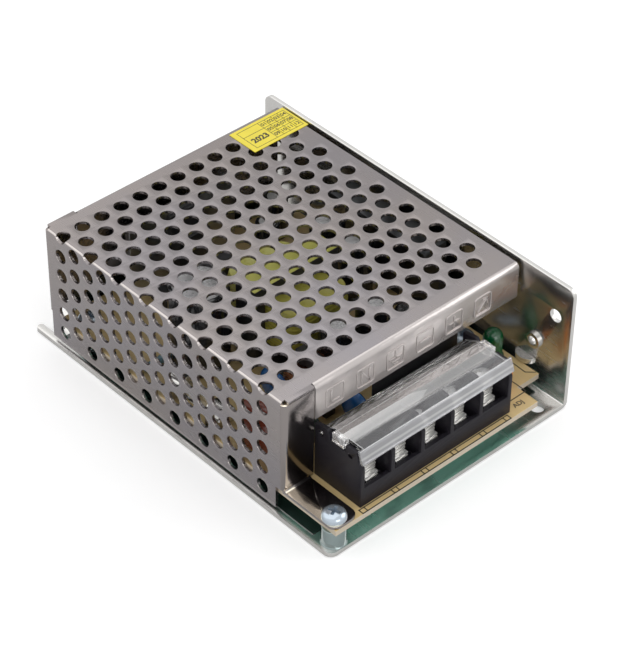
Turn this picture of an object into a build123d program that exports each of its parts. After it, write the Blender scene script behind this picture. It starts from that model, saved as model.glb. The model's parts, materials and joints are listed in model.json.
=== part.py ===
"""Enclosed mains power supply: an L-shaped base, a folded perforated cover, a printed
circuit board with its parts, and a five-pole terminal block under a clear hinged lid.

Millimetres. X runs along the terminal block, Y from the terminals to the rear, Z up.
The origin is the middle of the underside of the base.
"""
import os
from math import cos, radians, sin, sqrt

from build123d import *

os.makedirs("parts", exist_ok=True)


def finish(builder, name):
    """Label a finished piece and write it to its own file."""
    builder.part.label = name
    export_step(builder.part, f"parts/{name}.step")


# Case sizes
case_length = 108.2
case_width = 78.0
case_height = 36.0
base_sheet = 1.2
cover_sheet = 0.8
bend_inside = 0.5
seam_margin = 0.2
corner_radius = 2.2
terminal_ledge = 16.6
rear_ledge = 5.25

left_x = -case_width / 2
right_x = case_width / 2
front_y = -case_length / 2
rear_y = case_length / 2
wall_x = right_x - base_sheet

# Cover sizes
cover_left_inset = 0.8
cover_right_gap = 1.7
cover_top_drop = 0.6
cover_bottom_gap = 0.9
lip_height = 10.0
rear_wall_gap = 2.2
flange_width = 9.2
flange_slit = 0.35
wall_notch_length = 2.8
foot_width = 7.8
foot_inset = 0.3
foot_heel = 0.5

cover_left = left_x + cover_left_inset
cover_right = wall_x - cover_right_gap
cover_top = case_height - cover_top_drop
cover_front = front_y + terminal_ledge
cover_rear = rear_y - rear_ledge
cover_bottom = base_sheet + cover_bottom_gap
cover_bend = bend_inside + cover_sheet
cover_underside = cover_top - cover_sheet
cover_seam = cover_bend + seam_margin
base_seam = base_sheet + bend_inside + seam_margin

# Open-ended slot in the rear left corner of the base, which leaves a narrow tongue
tongue_width = 2.0
tongue_tip = 0.9
tongue_slot_width = 3.5
tongue_slot_length = 6.0

# Round ventilation holes, punched in a staggered pattern and drawn with six flats
hole_pitch = 6.0
hole_size = 3.8
hole_flats = 6
hole_margin = 3.0
first_row_inset = 7.4
edge_hole_inset = 1.07
edge_hole_rise = 0.28
row_pitch = hole_pitch * sqrt(3) / 2

first_row = cover_front + first_row_inset
first_column = cover_left + edge_hole_inset
first_level = cover_top + edge_hole_rise
hole_rows = int((cover_rear - cover_bend - hole_margin - first_row) / row_pitch) + 1
top_columns = int((cover_right - hole_margin - first_column) / hole_pitch - 0.5)
wall_columns = int((first_level - cover_bottom - hole_margin) / hole_pitch)

# Circuit board
standoff_height = 5.0
standoff_radius = 3.0
board_thickness = 1.6
board_left_inset = 1.7
board_right_gap = 2.0
board_front_inset = 0.1
board_length = 100.0
notch_width = 7.5
notch_length = 6.8
film_thickness = 0.3
film_front_inset = 7.6
film_hole_clearance = 0.6

board_bottom = base_sheet + standoff_height
board_top = board_bottom + board_thickness
board_left = left_x + board_left_inset
board_right = wall_x - board_right_gap
board_front = front_y + board_front_inset
board_rear = board_front + board_length

# Screws that hold the board and the cover's foot
screw_radius = 1.4
screw_clearance = 0.15
head_radius = 3.0
head_height = 2.1
head_bevel = 0.7
head_flats = 12
small_flats = 6
can_flats = 12
screw_inset_x = 4.0
screw_inset_y = 3.2
inner_screw_inset = 5.8
inner_screw_side = 4.6

front_screw = (left_x + screw_inset_x, front_y + screw_inset_y)
board_screws = [
    (board_left + inner_screw_side, board_rear - inner_screw_inset),
    (board_right - inner_screw_side, board_rear - inner_screw_inset),
    (board_right - inner_screw_side, cover_front + 2 * inner_screw_inset),
]
all_screws = [front_screw] + board_screws

# Fixing holes of the case
mount_hole_radius = 1.8
mount_inset_y = 5.0
mount_side_height = 26.0
mount_bottom_inset_x = 6.7
mount_bottom_inset_y = 3.5
tapped_radius = 1.25
tapped_collar_radius = 2.2
tapped_collar_length = 1.4
tapped_inset_y = 10.5
tapped_height = 15.6

# Board catch pressed inward from the side wall
catch_inset_y = 13.1
catch_half_length = 3.0
catch_reach = 2.5
catch_height = 1.4
catch_gap = 0.3

# Terminal block; depths run forward from its rear face, heights run up from the board
pole_count = 5
pole_pitch = 9.5
barrier = 1.2
block_left_inset = 10.9
block_rear_inset = 0.8
block_depth = 15.5
block_floor = 3.4
sill_height = 5.4
sill_thickness = 1.2
rear_wall_height = 12.4
barrier_height = 14.9
barrier_nose = 11.6
end_height = 15.7
notch_floor = 13.7
notch_front = 10.2
latch_front = 13.9
end_nose = (14.6, 13.2)
barrier_slope = ((14.3, 13.2), (13.3, 14.9))
hinge_depth = 2.0
hinge_height = 13.9
lug_radius = 3.1
lug_top_angle = radians(50)
hinge_pin_radius = 0.6
hinge_clearance = 0.2

block_left = left_x + block_left_inset
block_width = pole_count * pole_pitch + barrier
block_right = block_left + block_width
block_rear = cover_front + block_rear_inset
block_middle = (block_left + block_right) / 2
pole_centres = [block_middle + (i - (pole_count - 1) / 2) * pole_pitch for i in range(pole_count)]

# Clear lid over the terminals
lid_top = 16.6
lid_plate = 1.0
lid_rear_edge = 5.2
lid_front_top = 14.75
lid_front_bottom = 16.0
lid_lip_bottom = 13.2
lid_lip_top = 14.2
lid_rod_radius = 0.95
lid_web_drop = 0.7
lid_web_rise = 0.85
lid_web_back = 0.4
lid_end_gap = 0.3
tab_gap = 0.6

# Metal parts of one pole
contact_thickness = 1.0
contact_width = 6.6
contact_rear = 2.4
contact_front = 11.4
pin_width = 1.4
pin_thickness = 0.8
pin_depth = 4.0
pin_drop = 1.2
pin_clearance = 0.2
clamp_width = 6.8
clamp_rear = 5.6
clamp_front = 11.4
clamp_thickness = 1.9
clamp_ridge = 0.35
terminal_screw_depth = 8.4
terminal_screw_radius = 1.7
terminal_head_radius = 2.9
terminal_head_height = 2.4
terminal_screw_length = 4.6


# Parts on the board; sizes are across X and Y, places are from the board's front left corner
led_place = (69.0, 18.7)
led_radius = 2.5
led_height = 8.9
led_flange_radius = 2.9
led_flange_height = 1.0
led_dome = 1.25
trimmer_place = (62.2, 10.2)
trimmer_size = 5.0
trimmer_height = 6.2
rotor_radius = 1.8
rotor_height = 1.0
rotor_gap = 0.3
rotor_shaft_radius = 0.9
rotor_shaft_length = 3.0
rotor_slot_width = 0.6
rotor_slot_length = 2.8
rotor_slot_depth = 0.5

transformer_place = (36.7, 57.1)
core_width = 27.0
core_depth = 7.0
core_height = 22.0
core_leg = 4.6
winding_width = 20.0
winding_depth = 26.5
winding_radius = 4.0
bobbin_height = 1.6
bobbin_rim = 1.0

bulk_place = (16.0, 65.4)
bulk_radius = 7.5
bulk_height = 23.5
bulk_crimp = 1.2
output_capacitor_places = [(35.3, 37.9), (47.3, 37.9), (60.7, 58.5), (60.7, 68.8)]
output_capacitor_radius = 4.5
output_capacitor_height = 17.5
can_crimp = 0.9
rear_capacitor_places = [(62.5, 90.0), (54.0, 83.5)]
rear_capacitor_radius = 3.2
rear_capacitor_height = 12.0
choke_place = (25.3, 34.5)
choke_width = 10.0
choke_depth = 11.0
choke_height = 15.0
choke_leg = 3.2
choke_wire_depth = 2.4
choke_wire_radius = 1.6
choke_wire_gap = 0.6
film_capacitor_place = (5.6, 31.0)
film_capacitor_size = (4.6, 11.0, 13.0)
film_capacitor_radius = 1.4
disc_places = [(18.0, 40.8), (27.0, 22.4)]
disc_radius = 4.8
disc_thickness = 3.6
disc_stand = 1.5
fuse_place = (4.2, 52.0)
fuse_radius = 2.5
fuse_length = 20.0
fuse_clip_height = 1.2
fuse_clip_length = 2.5
fuse_clip_inset = 1.2
thermistor_place = (15.0, 25.0)
thermistor_radius = 4.2
thermistor_thickness = 3.2
bridge_place = (32.3, 77.6)
bridge_size = (15.0, 3.4, 15.0)
bridge_corner = 2.7
primary_sink_place = (36.0, 95.0)
sink_thickness = 1.8
primary_sink_foot = 3.0
output_sink_foot = 6.0
primary_sink_width = 34.0
primary_sink_height = 21.0
output_sink_place = (70.6, 56.0)
output_sink_length = 34.0
output_sink_height = 22.0
package_size = (10.0, 4.6, 15.0)
package_body_height = 9.0
package_stand = 4.0
package_tab = 1.3
package_lead = 0.7
inductor_place = (57.0, 33.5)
inductor_radius = 5.2
inductor_height = 13.0
inductor_bevel = 1.0
controller_place = (26.5, 88.0)
controller_size = (9.4, 6.4, 3.4)
optocoupler_place = (46.0, 79.5)
optocoupler_size = (4.6, 6.4, 3.6)
resistor_places = [(36.0, 86.5), (36.0, 82.5), (50.0, 27.0), (62.0, 22.0), (6.0, 70.5)]
resistor_radius = 1.2
resistor_length = 6.5

label_size_x = 18.0
label_size_y = 9.8
label_rear_inset = 1.75
label_overhang = 1.4
label_thickness = 0.15


def rectangle_between(x0, x1, y0, y1, mode=Mode.ADD):
    """Rectangle between two pairs of edges, in the sketch that is being drawn."""
    with Locations(((x0 + x1) / 2, (y0 + y1) / 2)):
        Rectangle(x1 - x0, y1 - y0, mode=mode)


def small_hole(radius, mode=Mode.SUBTRACT):
    """Small round hole, drawn with a few flats outside its circle."""
    RegularPolygon(radius, small_flats, major_radius=False, mode=mode)


def small_pin(radius):
    """Small round pin, drawn with a few flats inside its circle."""
    RegularPolygon(radius, small_flats)


def block_plane(x):
    """Side view of the terminal block at x: local X is depth, local Y is height."""
    return Plane(origin=(x, block_rear, board_top), x_dir=(0, -1, 0), z_dir=(-1, 0, 0))


def block_point(depth):
    """Y of a point at this depth from the rear face of the terminal block."""
    return block_rear - depth


wall_plane = Plane(origin=(right_x, 0, 0), x_dir=(0, 1, 0), z_dir=(1, 0, 0))
cover_side_plane = Plane(origin=(cover_left, 0, 0), x_dir=(0, 1, 0), z_dir=(1, 0, 0))

# Base: bottom and its bend, with the side wall as a flat piece of its own
with BuildPart() as base_chassis:
    with BuildSketch(Plane.XZ) as base_profile:
        with BuildLine():
            Polyline(
                (left_x, 0),
                (right_x, 0),
                (right_x, base_seam),
                (wall_x, base_seam),
                (wall_x, base_sheet),
                (left_x, base_sheet),
                close=True,
            )
        make_face()
        fillet(base_profile.vertices().sort_by_distance((right_x, 0))[0], bend_inside + base_sheet)
        fillet(base_profile.vertices().sort_by_distance((wall_x, base_sheet))[0], bend_inside)
    extrude(amount=case_length / 2, both=True)
    front_left_corner = base_chassis.edges().filter_by(Axis.Z).group_by(Axis.X)[0].sort_by(Axis.Y)[0]
    fillet(front_left_corner, corner_radius)
    with BuildSketch(Plane.XY):
        rectangle_between(
            left_x + tongue_width,
            left_x + tongue_width + tongue_slot_width,
            rear_y - tongue_slot_length + tongue_slot_width / 2,
            rear_y,
        )
        slot_end = (
            left_x + tongue_width + tongue_slot_width / 2,
            rear_y - tongue_slot_length + tongue_slot_width / 2,
        )
        with Locations(slot_end):
            Circle(tongue_slot_width / 2)
        with Locations(
            (right_x - mount_bottom_inset_x, front_y + mount_bottom_inset_y),
            (right_x - mount_bottom_inset_x, rear_y - mount_bottom_inset_y),
        ):
            Circle(mount_hole_radius)
    extrude(amount=base_sheet, mode=Mode.SUBTRACT)
    rear_corners = base_chassis.edges().filter_by(Axis.Z).group_by(Axis.Y)[-1]
    fillet(rear_corners.sort_by(Axis.X)[:2], tongue_tip)
finish(base_chassis, "base_chassis")

with BuildPart() as base_side_wall:
    with BuildSketch(Plane.YZ.offset(wall_x)):
        rectangle_between(front_y, rear_y, base_seam, case_height)
    extrude(amount=base_sheet)
    with BuildSketch(Plane.XY.offset(board_top + catch_gap)):
        with Locations((wall_x, front_y + catch_inset_y)):
            Ellipse(catch_reach, catch_half_length)
        rectangle_between(wall_x - catch_reach, right_x, front_y, rear_y, Mode.INTERSECT)
    extrude(amount=catch_height)
    with BuildSketch(wall_plane.offset(-base_sheet)):
        with Locations((front_y + tapped_inset_y, tapped_height)):
            Circle(tapped_collar_radius)
    extrude(amount=-tapped_collar_length)
    with BuildSketch(wall_plane):
        with Locations((front_y + tapped_inset_y, tapped_height)):
            Circle(tapped_radius)
    extrude(amount=-base_sheet - tapped_collar_length, mode=Mode.SUBTRACT)
    with BuildSketch(wall_plane):
        with Locations(
            (front_y + mount_inset_y, mount_side_height),
            (rear_y - mount_inset_y, mount_side_height),
        ):
            Circle(mount_hole_radius)
    extrude(amount=-base_sheet, mode=Mode.SUBTRACT)
    top_corners = base_side_wall.edges().filter_by(Axis.X).group_by(Axis.Z)[-1]
    fillet(top_corners, corner_radius)
finish(base_side_wall, "base_side_wall")

# Cover: one folded sheet on the real supply. Its top takes in the bends, and its walls, lips,
# flanges and foot are flat pieces that meet it face to face.
lip_start = cover_left + flange_width + flange_slit
wall_start = cover_front + cover_seam
wall_end = cover_rear - cover_seam
wall_top = cover_top - cover_seam
flange_top = cover_underside - flange_slit
flange_bottom = board_top + cover_sheet
rear_wall_bottom = board_top + rear_wall_gap
notch_end = cover_front + wall_notch_length
foot_left = cover_left + foot_inset
foot_front = front_y + board_front_inset
last_row = first_row + (hole_rows - 1) * row_pitch
rows_middle = (first_row + last_row) / 2
even_rows = (hole_rows + 1) // 2
odd_rows = hole_rows // 2
columns_middle = first_column + (top_columns + 1) / 2 * hole_pitch
levels_middle = first_level - (wall_columns + 1) / 2 * hole_pitch


def lip_bend():
    """Side view of a lip's bend: a short run of the top sheet, turned down at the edge."""
    run = 2 * cover_bend
    with BuildSketch(mode=Mode.PRIVATE) as profile:
        with BuildLine():
            Polyline(
                (0, 0),
                (run, 0),
                (run, -cover_sheet),
                (cover_sheet, -cover_sheet),
                (cover_sheet, -cover_seam),
                (0, -cover_seam),
                close=True,
            )
        make_face()
        fillet(profile.vertices().sort_by_distance((0, 0))[0], cover_bend)
        fillet(profile.vertices().sort_by_distance((cover_sheet, -cover_sheet))[0], bend_inside)
    return profile.sketch


def hole_grid(middle, across, along, columns, rows):
    """Grid of ventilation holes about a point, in the sketch that is being drawn."""
    with Locations(middle):
        with GridLocations(across, along, columns, rows):
            RegularPolygon(hole_size / 2, hole_flats, major_radius=False)


def side_holes():
    """Holes of the left wall, with those of the edge that the bend runs through."""
    with BuildSketch(mode=Mode.PRIVATE) as holes:
        hole_grid((rows_middle, levels_middle), 2 * row_pitch, hole_pitch, even_rows, wall_columns)
        odd_middle = (rows_middle, levels_middle + hole_pitch / 2)
        hole_grid(odd_middle, 2 * row_pitch, hole_pitch, odd_rows, wall_columns)
        hole_grid((rows_middle, first_level), 2 * row_pitch, hole_pitch, even_rows, 1)
    return holes.sketch


def corner_flange(edge_y, inward):
    """Plan of a flange: it turns from the left wall round onto the front or the rear."""
    sheet_y = edge_y + inward * cover_sheet
    end_y = edge_y + inward * cover_seam
    with BuildSketch(mode=Mode.PRIVATE) as plan:
        with BuildLine():
            Polyline(
                (cover_left, end_y),
                (cover_left, edge_y),
                (cover_left + flange_width, edge_y),
                (cover_left + flange_width, sheet_y),
                (cover_left + cover_sheet, sheet_y),
                (cover_left + cover_sheet, end_y),
                close=True,
            )
        make_face()
        fillet(plan.vertices().sort_by_distance((cover_left, edge_y))[0], cover_bend)
    return plan.sketch


front_lip_plane = Plane(
    origin=(lip_start, cover_front, cover_top), x_dir=(0, 1, 0), z_dir=(1, 0, 0)
)
rear_lip_plane = Plane(
    origin=(cover_right, cover_rear, cover_top), x_dir=(0, -1, 0), z_dir=(-1, 0, 0)
)
foot_plane = Plane(
    origin=(foot_left, cover_front, flange_bottom), x_dir=(0, 1, 0), z_dir=(1, 0, 0)
)

with BuildPart() as perforated_cover:
    with BuildSketch(Plane.XZ.offset(-wall_end)) as fold:
        with BuildLine():
            Polyline(
                (cover_left, cover_top),
                (cover_right, cover_top),
                (cover_right, cover_underside),
                (cover_left + cover_sheet, cover_underside),
                (cover_left + cover_sheet, wall_top),
                (cover_left, wall_top),
                close=True,
            )
        make_face()
        outer = fold.vertices().sort_by_distance((cover_left, cover_top))[0]
        fillet(outer, cover_bend)
        inner = fold.vertices().sort_by_distance((cover_left + cover_sheet, cover_underside))[0]
        fillet(inner, bend_inside)
    extrude(amount=wall_end - wall_start)
    with BuildSketch(Plane.XY.offset(cover_underside)):
        rectangle_between(cover_left + cover_bend, lip_start - flange_slit, cover_front, wall_start)
        rectangle_between(cover_left + cover_bend, lip_start - flange_slit, wall_end, cover_rear)
    extrude(amount=cover_sheet)
    with BuildSketch(front_lip_plane):
        add(lip_bend())
    extrude(amount=cover_right - lip_start)
    with BuildSketch(rear_lip_plane):
        add(lip_bend())
    extrude(amount=cover_right - lip_start)
    with BuildSketch(Plane.XY.offset(cover_top)):
        hole_grid((columns_middle, rows_middle), hole_pitch, 2 * row_pitch, top_columns, even_rows)
        hole_grid((columns_middle, rows_middle), hole_pitch, 2 * row_pitch, top_columns + 1, odd_rows)
        hole_grid((first_column, rows_middle), hole_pitch, 2 * row_pitch, 1, even_rows)
    extrude(amount=-cover_sheet - bend_inside, mode=Mode.SUBTRACT)
    with BuildSketch(cover_side_plane):
        add(side_holes())
    extrude(amount=cover_sheet + bend_inside, mode=Mode.SUBTRACT)
finish(perforated_cover, "perforated_cover")

with BuildPart() as cover_side_wall:
    with BuildSketch(cover_side_plane):
        rectangle_between(wall_start, wall_end, flange_bottom, wall_top)
        rectangle_between(notch_end, wall_end, cover_bottom, flange_bottom)
    extrude(amount=cover_sheet)
    with BuildSketch(cover_side_plane):
        add(side_holes())
    extrude(amount=cover_sheet, mode=Mode.SUBTRACT)
finish(cover_side_wall, "cover_side_wall")

with BuildPart() as cover_front_lip:
    with BuildSketch(front_lip_plane):
        rectangle_between(0, cover_sheet, -lip_height, -cover_seam)
    extrude(amount=cover_right - lip_start)
finish(cover_front_lip, "cover_front_lip")

with BuildPart() as cover_rear_wall:
    with BuildSketch(rear_lip_plane):
        rectangle_between(0, cover_sheet, rear_wall_bottom - cover_top, -cover_seam)
    extrude(amount=cover_right - lip_start)
finish(cover_rear_wall, "cover_rear_wall")

with BuildPart() as cover_edge_flanges:
    with BuildSketch(Plane.XY.offset(flange_bottom)):
        add(corner_flange(cover_front, 1))
    extrude(amount=flange_top - flange_bottom)
    with BuildSketch(Plane.XY.offset(rear_wall_bottom)):
        add(corner_flange(cover_rear, -1))
    extrude(amount=flange_top - rear_wall_bottom)
finish(cover_edge_flanges, "cover_edge_flanges")

with BuildPart() as cover_foot:
    with BuildSketch(foot_plane) as foot_profile:
        rectangle_between(foot_front - cover_front, cover_sheet, -cover_sheet, 0)
        heel = foot_profile.vertices().sort_by_distance((cover_sheet, -cover_sheet))[0]
        fillet(heel, foot_heel)
    extrude(amount=foot_width)
    foot_corners = cover_foot.edges().filter_by(Axis.Z).group_by(Axis.Y)[0]
    fillet(foot_corners, corner_radius)
    with BuildSketch(Plane.XY.offset(flange_bottom)):
        with Locations(front_screw):
            small_hole(screw_radius + screw_clearance, Mode.ADD)
    extrude(amount=-cover_sheet, mode=Mode.SUBTRACT)
finish(cover_foot, "cover_foot")

# Insulating film on the base, cut out round the standoffs
with BuildPart() as insulating_film:
    with BuildSketch(Plane.XY.offset(base_sheet)):
        rectangle_between(board_left, board_right, front_y + film_front_inset, board_rear)
        with Locations(*board_screws):
            small_hole(standoff_radius + film_hole_clearance)
    extrude(amount=film_thickness)
finish(insulating_film, "insulating_film")

# Circuit board with its notched front corner, screw holes and slots for the terminal pins
pin_y = block_point(pin_depth)
pin_points = [(x, pin_y) for x in pole_centres]
with BuildPart() as circuit_board:
    with BuildSketch(Plane.XY.offset(board_bottom)):
        rectangle_between(board_left, board_right, board_front, board_rear)
        rectangle_between(
            board_right - notch_width,
            board_right,
            board_front,
            board_front + notch_length,
            Mode.SUBTRACT,
        )
        with Locations(*all_screws):
            small_hole(screw_radius + screw_clearance)
        with Locations(*pin_points):
            Rectangle(
                pin_width + 2 * pin_clearance,
                pin_thickness + 2 * pin_clearance,
                mode=Mode.SUBTRACT,
            )
    extrude(amount=board_thickness)
finish(circuit_board, "circuit_board")

# Standoffs pressed into the base
with BuildPart() as board_standoffs:
    with BuildSketch(Plane.XY.offset(base_sheet)):
        with Locations(*all_screws):
            RegularPolygon(standoff_radius, head_flats)
            small_hole(screw_radius + screw_clearance)
    extrude(amount=standoff_height)
finish(board_standoffs, "board_standoffs")

# Pan head screws: the front one also clamps the foot of the cover
with BuildPart() as case_screws:
    with BuildSketch(Plane.XY.offset(base_sheet + screw_clearance)):
        with Locations(*board_screws):
            small_pin(screw_radius)
    extrude(amount=board_top - base_sheet)
    with BuildSketch(Plane.XY.offset(base_sheet + screw_clearance)):
        with Locations(front_screw):
            small_pin(screw_radius)
    extrude(amount=flange_bottom - base_sheet)
    with BuildSketch(Plane.XY.offset(flange_bottom)):
        with Locations(front_screw):
            RegularPolygon(head_radius, head_flats)
    extrude(amount=head_height)
    with BuildSketch(Plane.XY.offset(board_top)):
        with Locations(*board_screws):
            RegularPolygon(head_radius, head_flats)
    extrude(amount=head_height)
    crowns = case_screws.faces().filter_by(Axis.Z).filter_by(lambda f: f.normal_at().Z > 0.5)
    chamfer(crowns.edges(), head_bevel)
finish(case_screws, "case_screws")

# Moulded terminal housing: floor, sill, rear wall, end walls with lugs, and barriers
lug_peak = (
    hinge_depth + lug_radius * cos(lug_top_angle),
    hinge_height + lug_radius * sin(lug_top_angle),
)
lug_middle_angle = lug_top_angle / 2
lug_middle = (
    hinge_depth + lug_radius * cos(lug_middle_angle),
    hinge_height + lug_radius * sin(lug_middle_angle),
)
notch_rear = hinge_depth + lug_radius

with BuildPart() as terminal_housing:
    with BuildSketch(block_plane(block_right)):
        rectangle_between(0, block_depth, 0, block_floor)
        rectangle_between(block_depth - sill_thickness, block_depth, 0, sill_height)
        rectangle_between(0, barrier, 0, rear_wall_height)
    extrude(amount=block_width)
    for x in [block_left + (i + 1) * pole_pitch + barrier for i in range(pole_count - 1)]:
        with BuildSketch(block_plane(x)):
            with BuildLine():
                Polyline(
                    (0, 0),
                    (block_depth, 0),
                    (block_depth, barrier_nose),
                    *barrier_slope,
                    (lid_rear_edge + lid_plate, barrier_height),
                    (hinge_depth + barrier, rear_wall_height),
                    (0, rear_wall_height),
                    close=True,
                )
            make_face()
        extrude(amount=barrier)
    for x in (block_left + barrier, block_right):
        with BuildSketch(block_plane(x)):
            with BuildLine():
                Polyline(
                    (notch_rear, hinge_height),
                    (notch_rear, notch_floor),
                    (notch_front, notch_floor),
                    (notch_front, end_height),
                    (latch_front, end_height),
                    end_nose,
                    (block_depth, barrier_nose),
                    (block_depth, 0),
                    (0, 0),
                    (0, end_height),
                    lug_peak,
                )
                ThreePointArc(lug_peak, lug_middle, (notch_rear, hinge_height))
            make_face()
            with Locations((hinge_depth, hinge_height)):
                Circle(hinge_pin_radius + hinge_clearance, mode=Mode.SUBTRACT)
        extrude(amount=barrier)
    with BuildSketch(Plane.XY.offset(board_top + block_floor)):
        with Locations(*pin_points):
            Rectangle(pin_width + 2 * pin_clearance, pin_thickness + 2 * pin_clearance)
    extrude(amount=-block_floor, mode=Mode.SUBTRACT)
    with BuildSketch(Plane.XY.offset(board_top + block_floor)):
        with Locations(*[(x, block_point(terminal_screw_depth)) for x in pole_centres]):
            small_hole(terminal_screw_radius + pin_clearance, Mode.ADD)
    extrude(amount=-block_floor + barrier, mode=Mode.SUBTRACT)
finish(terminal_housing, "terminal_housing")

# Contact bars with their solder pins
contact_top = block_floor + contact_thickness
with BuildPart() as terminal_contacts:
    with BuildSketch(Plane.XY.offset(board_top + block_floor)):
        for x in pole_centres:
            rectangle_between(
                x - contact_width / 2,
                x + contact_width / 2,
                block_point(contact_front),
                block_point(contact_rear),
            )
            with Locations((x, block_point(terminal_screw_depth))):
                small_hole(terminal_screw_radius + pin_clearance)
    extrude(amount=contact_thickness)
    with BuildSketch(Plane.XY.offset(board_bottom - pin_drop)):
        with Locations(*pin_points):
            Rectangle(pin_width, pin_thickness)
    extrude(amount=board_thickness + pin_drop + block_floor)
finish(terminal_contacts, "terminal_contacts")

# One ridged clamp and one screw for each pole, which rise together when it is undone
clamp_top = contact_top + clamp_thickness
for number, x in enumerate(pole_centres, start=1):
    with BuildPart() as terminal_clamp:
        with BuildSketch(block_plane(x + clamp_width / 2)):
            with BuildLine():
                Polyline(
                    (clamp_rear, contact_top),
                    (clamp_front, contact_top),
                    (clamp_front + clamp_ridge, contact_top + clamp_ridge),
                    (clamp_front + clamp_ridge, contact_top + 2 * clamp_ridge),
                    (clamp_front, contact_top + 3 * clamp_ridge),
                    (clamp_front + clamp_ridge / 2, contact_top + 4 * clamp_ridge),
                    (clamp_front - clamp_ridge, clamp_top),
                    (clamp_rear, clamp_top),
                    close=True,
                )
            make_face()
        extrude(amount=clamp_width)
        with BuildSketch(Plane.XY.offset(board_top + clamp_top)):
            with Locations((x, block_point(terminal_screw_depth))):
                small_hole(terminal_screw_radius + pin_clearance, Mode.ADD)
        extrude(amount=-clamp_thickness, mode=Mode.SUBTRACT)
    finish(terminal_clamp, f"terminal_clamp_{number}")
    with BuildPart() as terminal_screw:
        with BuildSketch(Plane.XY.offset(board_top + clamp_top)):
            with Locations((x, block_point(terminal_screw_depth))):
                small_pin(terminal_screw_radius)
        extrude(amount=-terminal_screw_length)
        with BuildSketch(Plane.XY.offset(board_top + clamp_top)):
            with Locations((x, block_point(terminal_screw_depth))):
                RegularPolygon(terminal_head_radius, head_flats)
        extrude(amount=terminal_head_height)
        chamfer(terminal_screw.faces().sort_by(Axis.Z)[-1].edges(), head_bevel)
    finish(terminal_screw, f"terminal_screw_{number}")

# Clear lid: plate, front lip, hinge rod with its web, end tabs and hinge pins
lid_left = block_left + barrier + lid_end_gap
lid_right = block_right - barrier - lid_end_gap
plate_underside = lid_top - lid_plate
with BuildPart() as terminal_cover:
    with BuildSketch(block_plane(lid_right)):
        with BuildLine():
            Polyline(
                (lid_rear_edge, lid_top),
                (lid_front_top, lid_top),
                (lid_front_bottom, lid_lip_bottom),
                (lid_front_bottom - lid_plate, lid_lip_bottom),
                (lid_lip_top, plate_underside),
                (lid_rear_edge + lid_plate / 2, plate_underside),
                (hinge_depth + hinge_pin_radius, hinge_height - lid_web_drop),
                (hinge_depth, hinge_height),
                (hinge_depth - lid_web_back, hinge_height + lid_web_rise),
                close=True,
            )
        make_face()
        with Locations((hinge_depth, hinge_height)):
            Circle(lid_rod_radius)
    extrude(amount=lid_right - lid_left)
    with BuildSketch(block_plane(block_right)):
        with BuildLine():
            Polyline(
                (lid_lip_top, lid_top),
                (lid_front_top, lid_top),
                (lid_front_bottom, lid_lip_bottom),
                (lid_front_bottom - lid_plate, lid_lip_bottom),
                close=True,
            )
        make_face()
    extrude(amount=block_width)
    with BuildSketch(block_plane(block_right)):
        rectangle_between(
            notch_rear + tab_gap, notch_front - tab_gap, notch_floor + lid_end_gap, lid_top
        )
    extrude(amount=barrier + 2 * lid_end_gap)
    with BuildSketch(block_plane(block_left + barrier + 2 * lid_end_gap)):
        rectangle_between(
            notch_rear + tab_gap, notch_front - tab_gap, notch_floor + lid_end_gap, lid_top
        )
    extrude(amount=barrier + 2 * lid_end_gap)
    with BuildSketch(block_plane(block_right - pin_clearance)):
        with Locations((hinge_depth, hinge_height)):
            Circle(hinge_pin_radius)
    extrude(amount=block_width - 2 * pin_clearance)
finish(terminal_cover, "terminal_cover")


def on_board(place):
    """Place on the board, from its front left corner, as a point of the model."""
    return (board_left + place[0], board_front + place[1])


def upright_block(place, size):
    """Block that stands on the board at this place."""
    with BuildPart(mode=Mode.PRIVATE) as block:
        with BuildSketch(Plane.XY.offset(board_top)):
            with Locations(on_board(place)):
                Rectangle(size[0], size[1])
        extrude(amount=size[2])
    return block.part


def upright_cans(places, radius, height, crimp):
    """Cans that stand on the board, each with a crimped neck near its foot."""
    with BuildPart(mode=Mode.PRIVATE) as cans:
        with BuildSketch(Plane.XY.offset(board_top)):
            with Locations(*[on_board(place) for place in places]):
                RegularPolygon(radius - crimp / 2, can_flats)
        extrude(amount=height)
        with BuildSketch(Plane.XY.offset(board_top + 2 * crimp)):
            with Locations(*[on_board(place) for place in places]):
                RegularPolygon(radius, can_flats)
        extrude(amount=height - 2 * crimp)
    return cans.part


def standing_disc(place, radius, thickness):
    """Disc on edge above the board with a short skirt down to it, facing along X."""
    disc_x, disc_y = on_board(place)
    with BuildPart(mode=Mode.PRIVATE) as disc:
        with BuildSketch(Plane.YZ.offset(disc_x - thickness / 2)):
            with Locations((disc_y, board_top + disc_stand + radius)):
                RegularPolygon(radius, can_flats)
            with Locations((disc_y, board_top + radius / 2)):
                Rectangle(radius, radius)
        extrude(amount=thickness)
    return disc.part


# Indicator lamp
with BuildPart() as status_led:
    with BuildSketch(Plane.XY.offset(board_top)):
        with Locations(on_board(led_place)):
            RegularPolygon(led_flange_radius, can_flats)
    extrude(amount=led_flange_height)
    with BuildSketch(Plane.XY.offset(board_top)):
        with Locations(on_board(led_place)):
            RegularPolygon(led_radius, can_flats)
    extrude(amount=led_height)
    chamfer(status_led.edges().group_by(Axis.Z)[-1], led_dome)
finish(status_led, "status_led")

# Voltage trimmer: body with a bore, and the slotted rotor that turns in it
with BuildPart() as trimmer_body:
    add(upright_block(trimmer_place, (trimmer_size, trimmer_size, trimmer_height)))
    with BuildSketch(Plane.XY.offset(board_top + trimmer_height)):
        with Locations(on_board(trimmer_place)):
            small_hole(rotor_shaft_radius + screw_clearance, Mode.ADD)
    extrude(amount=-rotor_shaft_length - rotor_gap, mode=Mode.SUBTRACT)
finish(trimmer_body, "trimmer_body")

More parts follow.
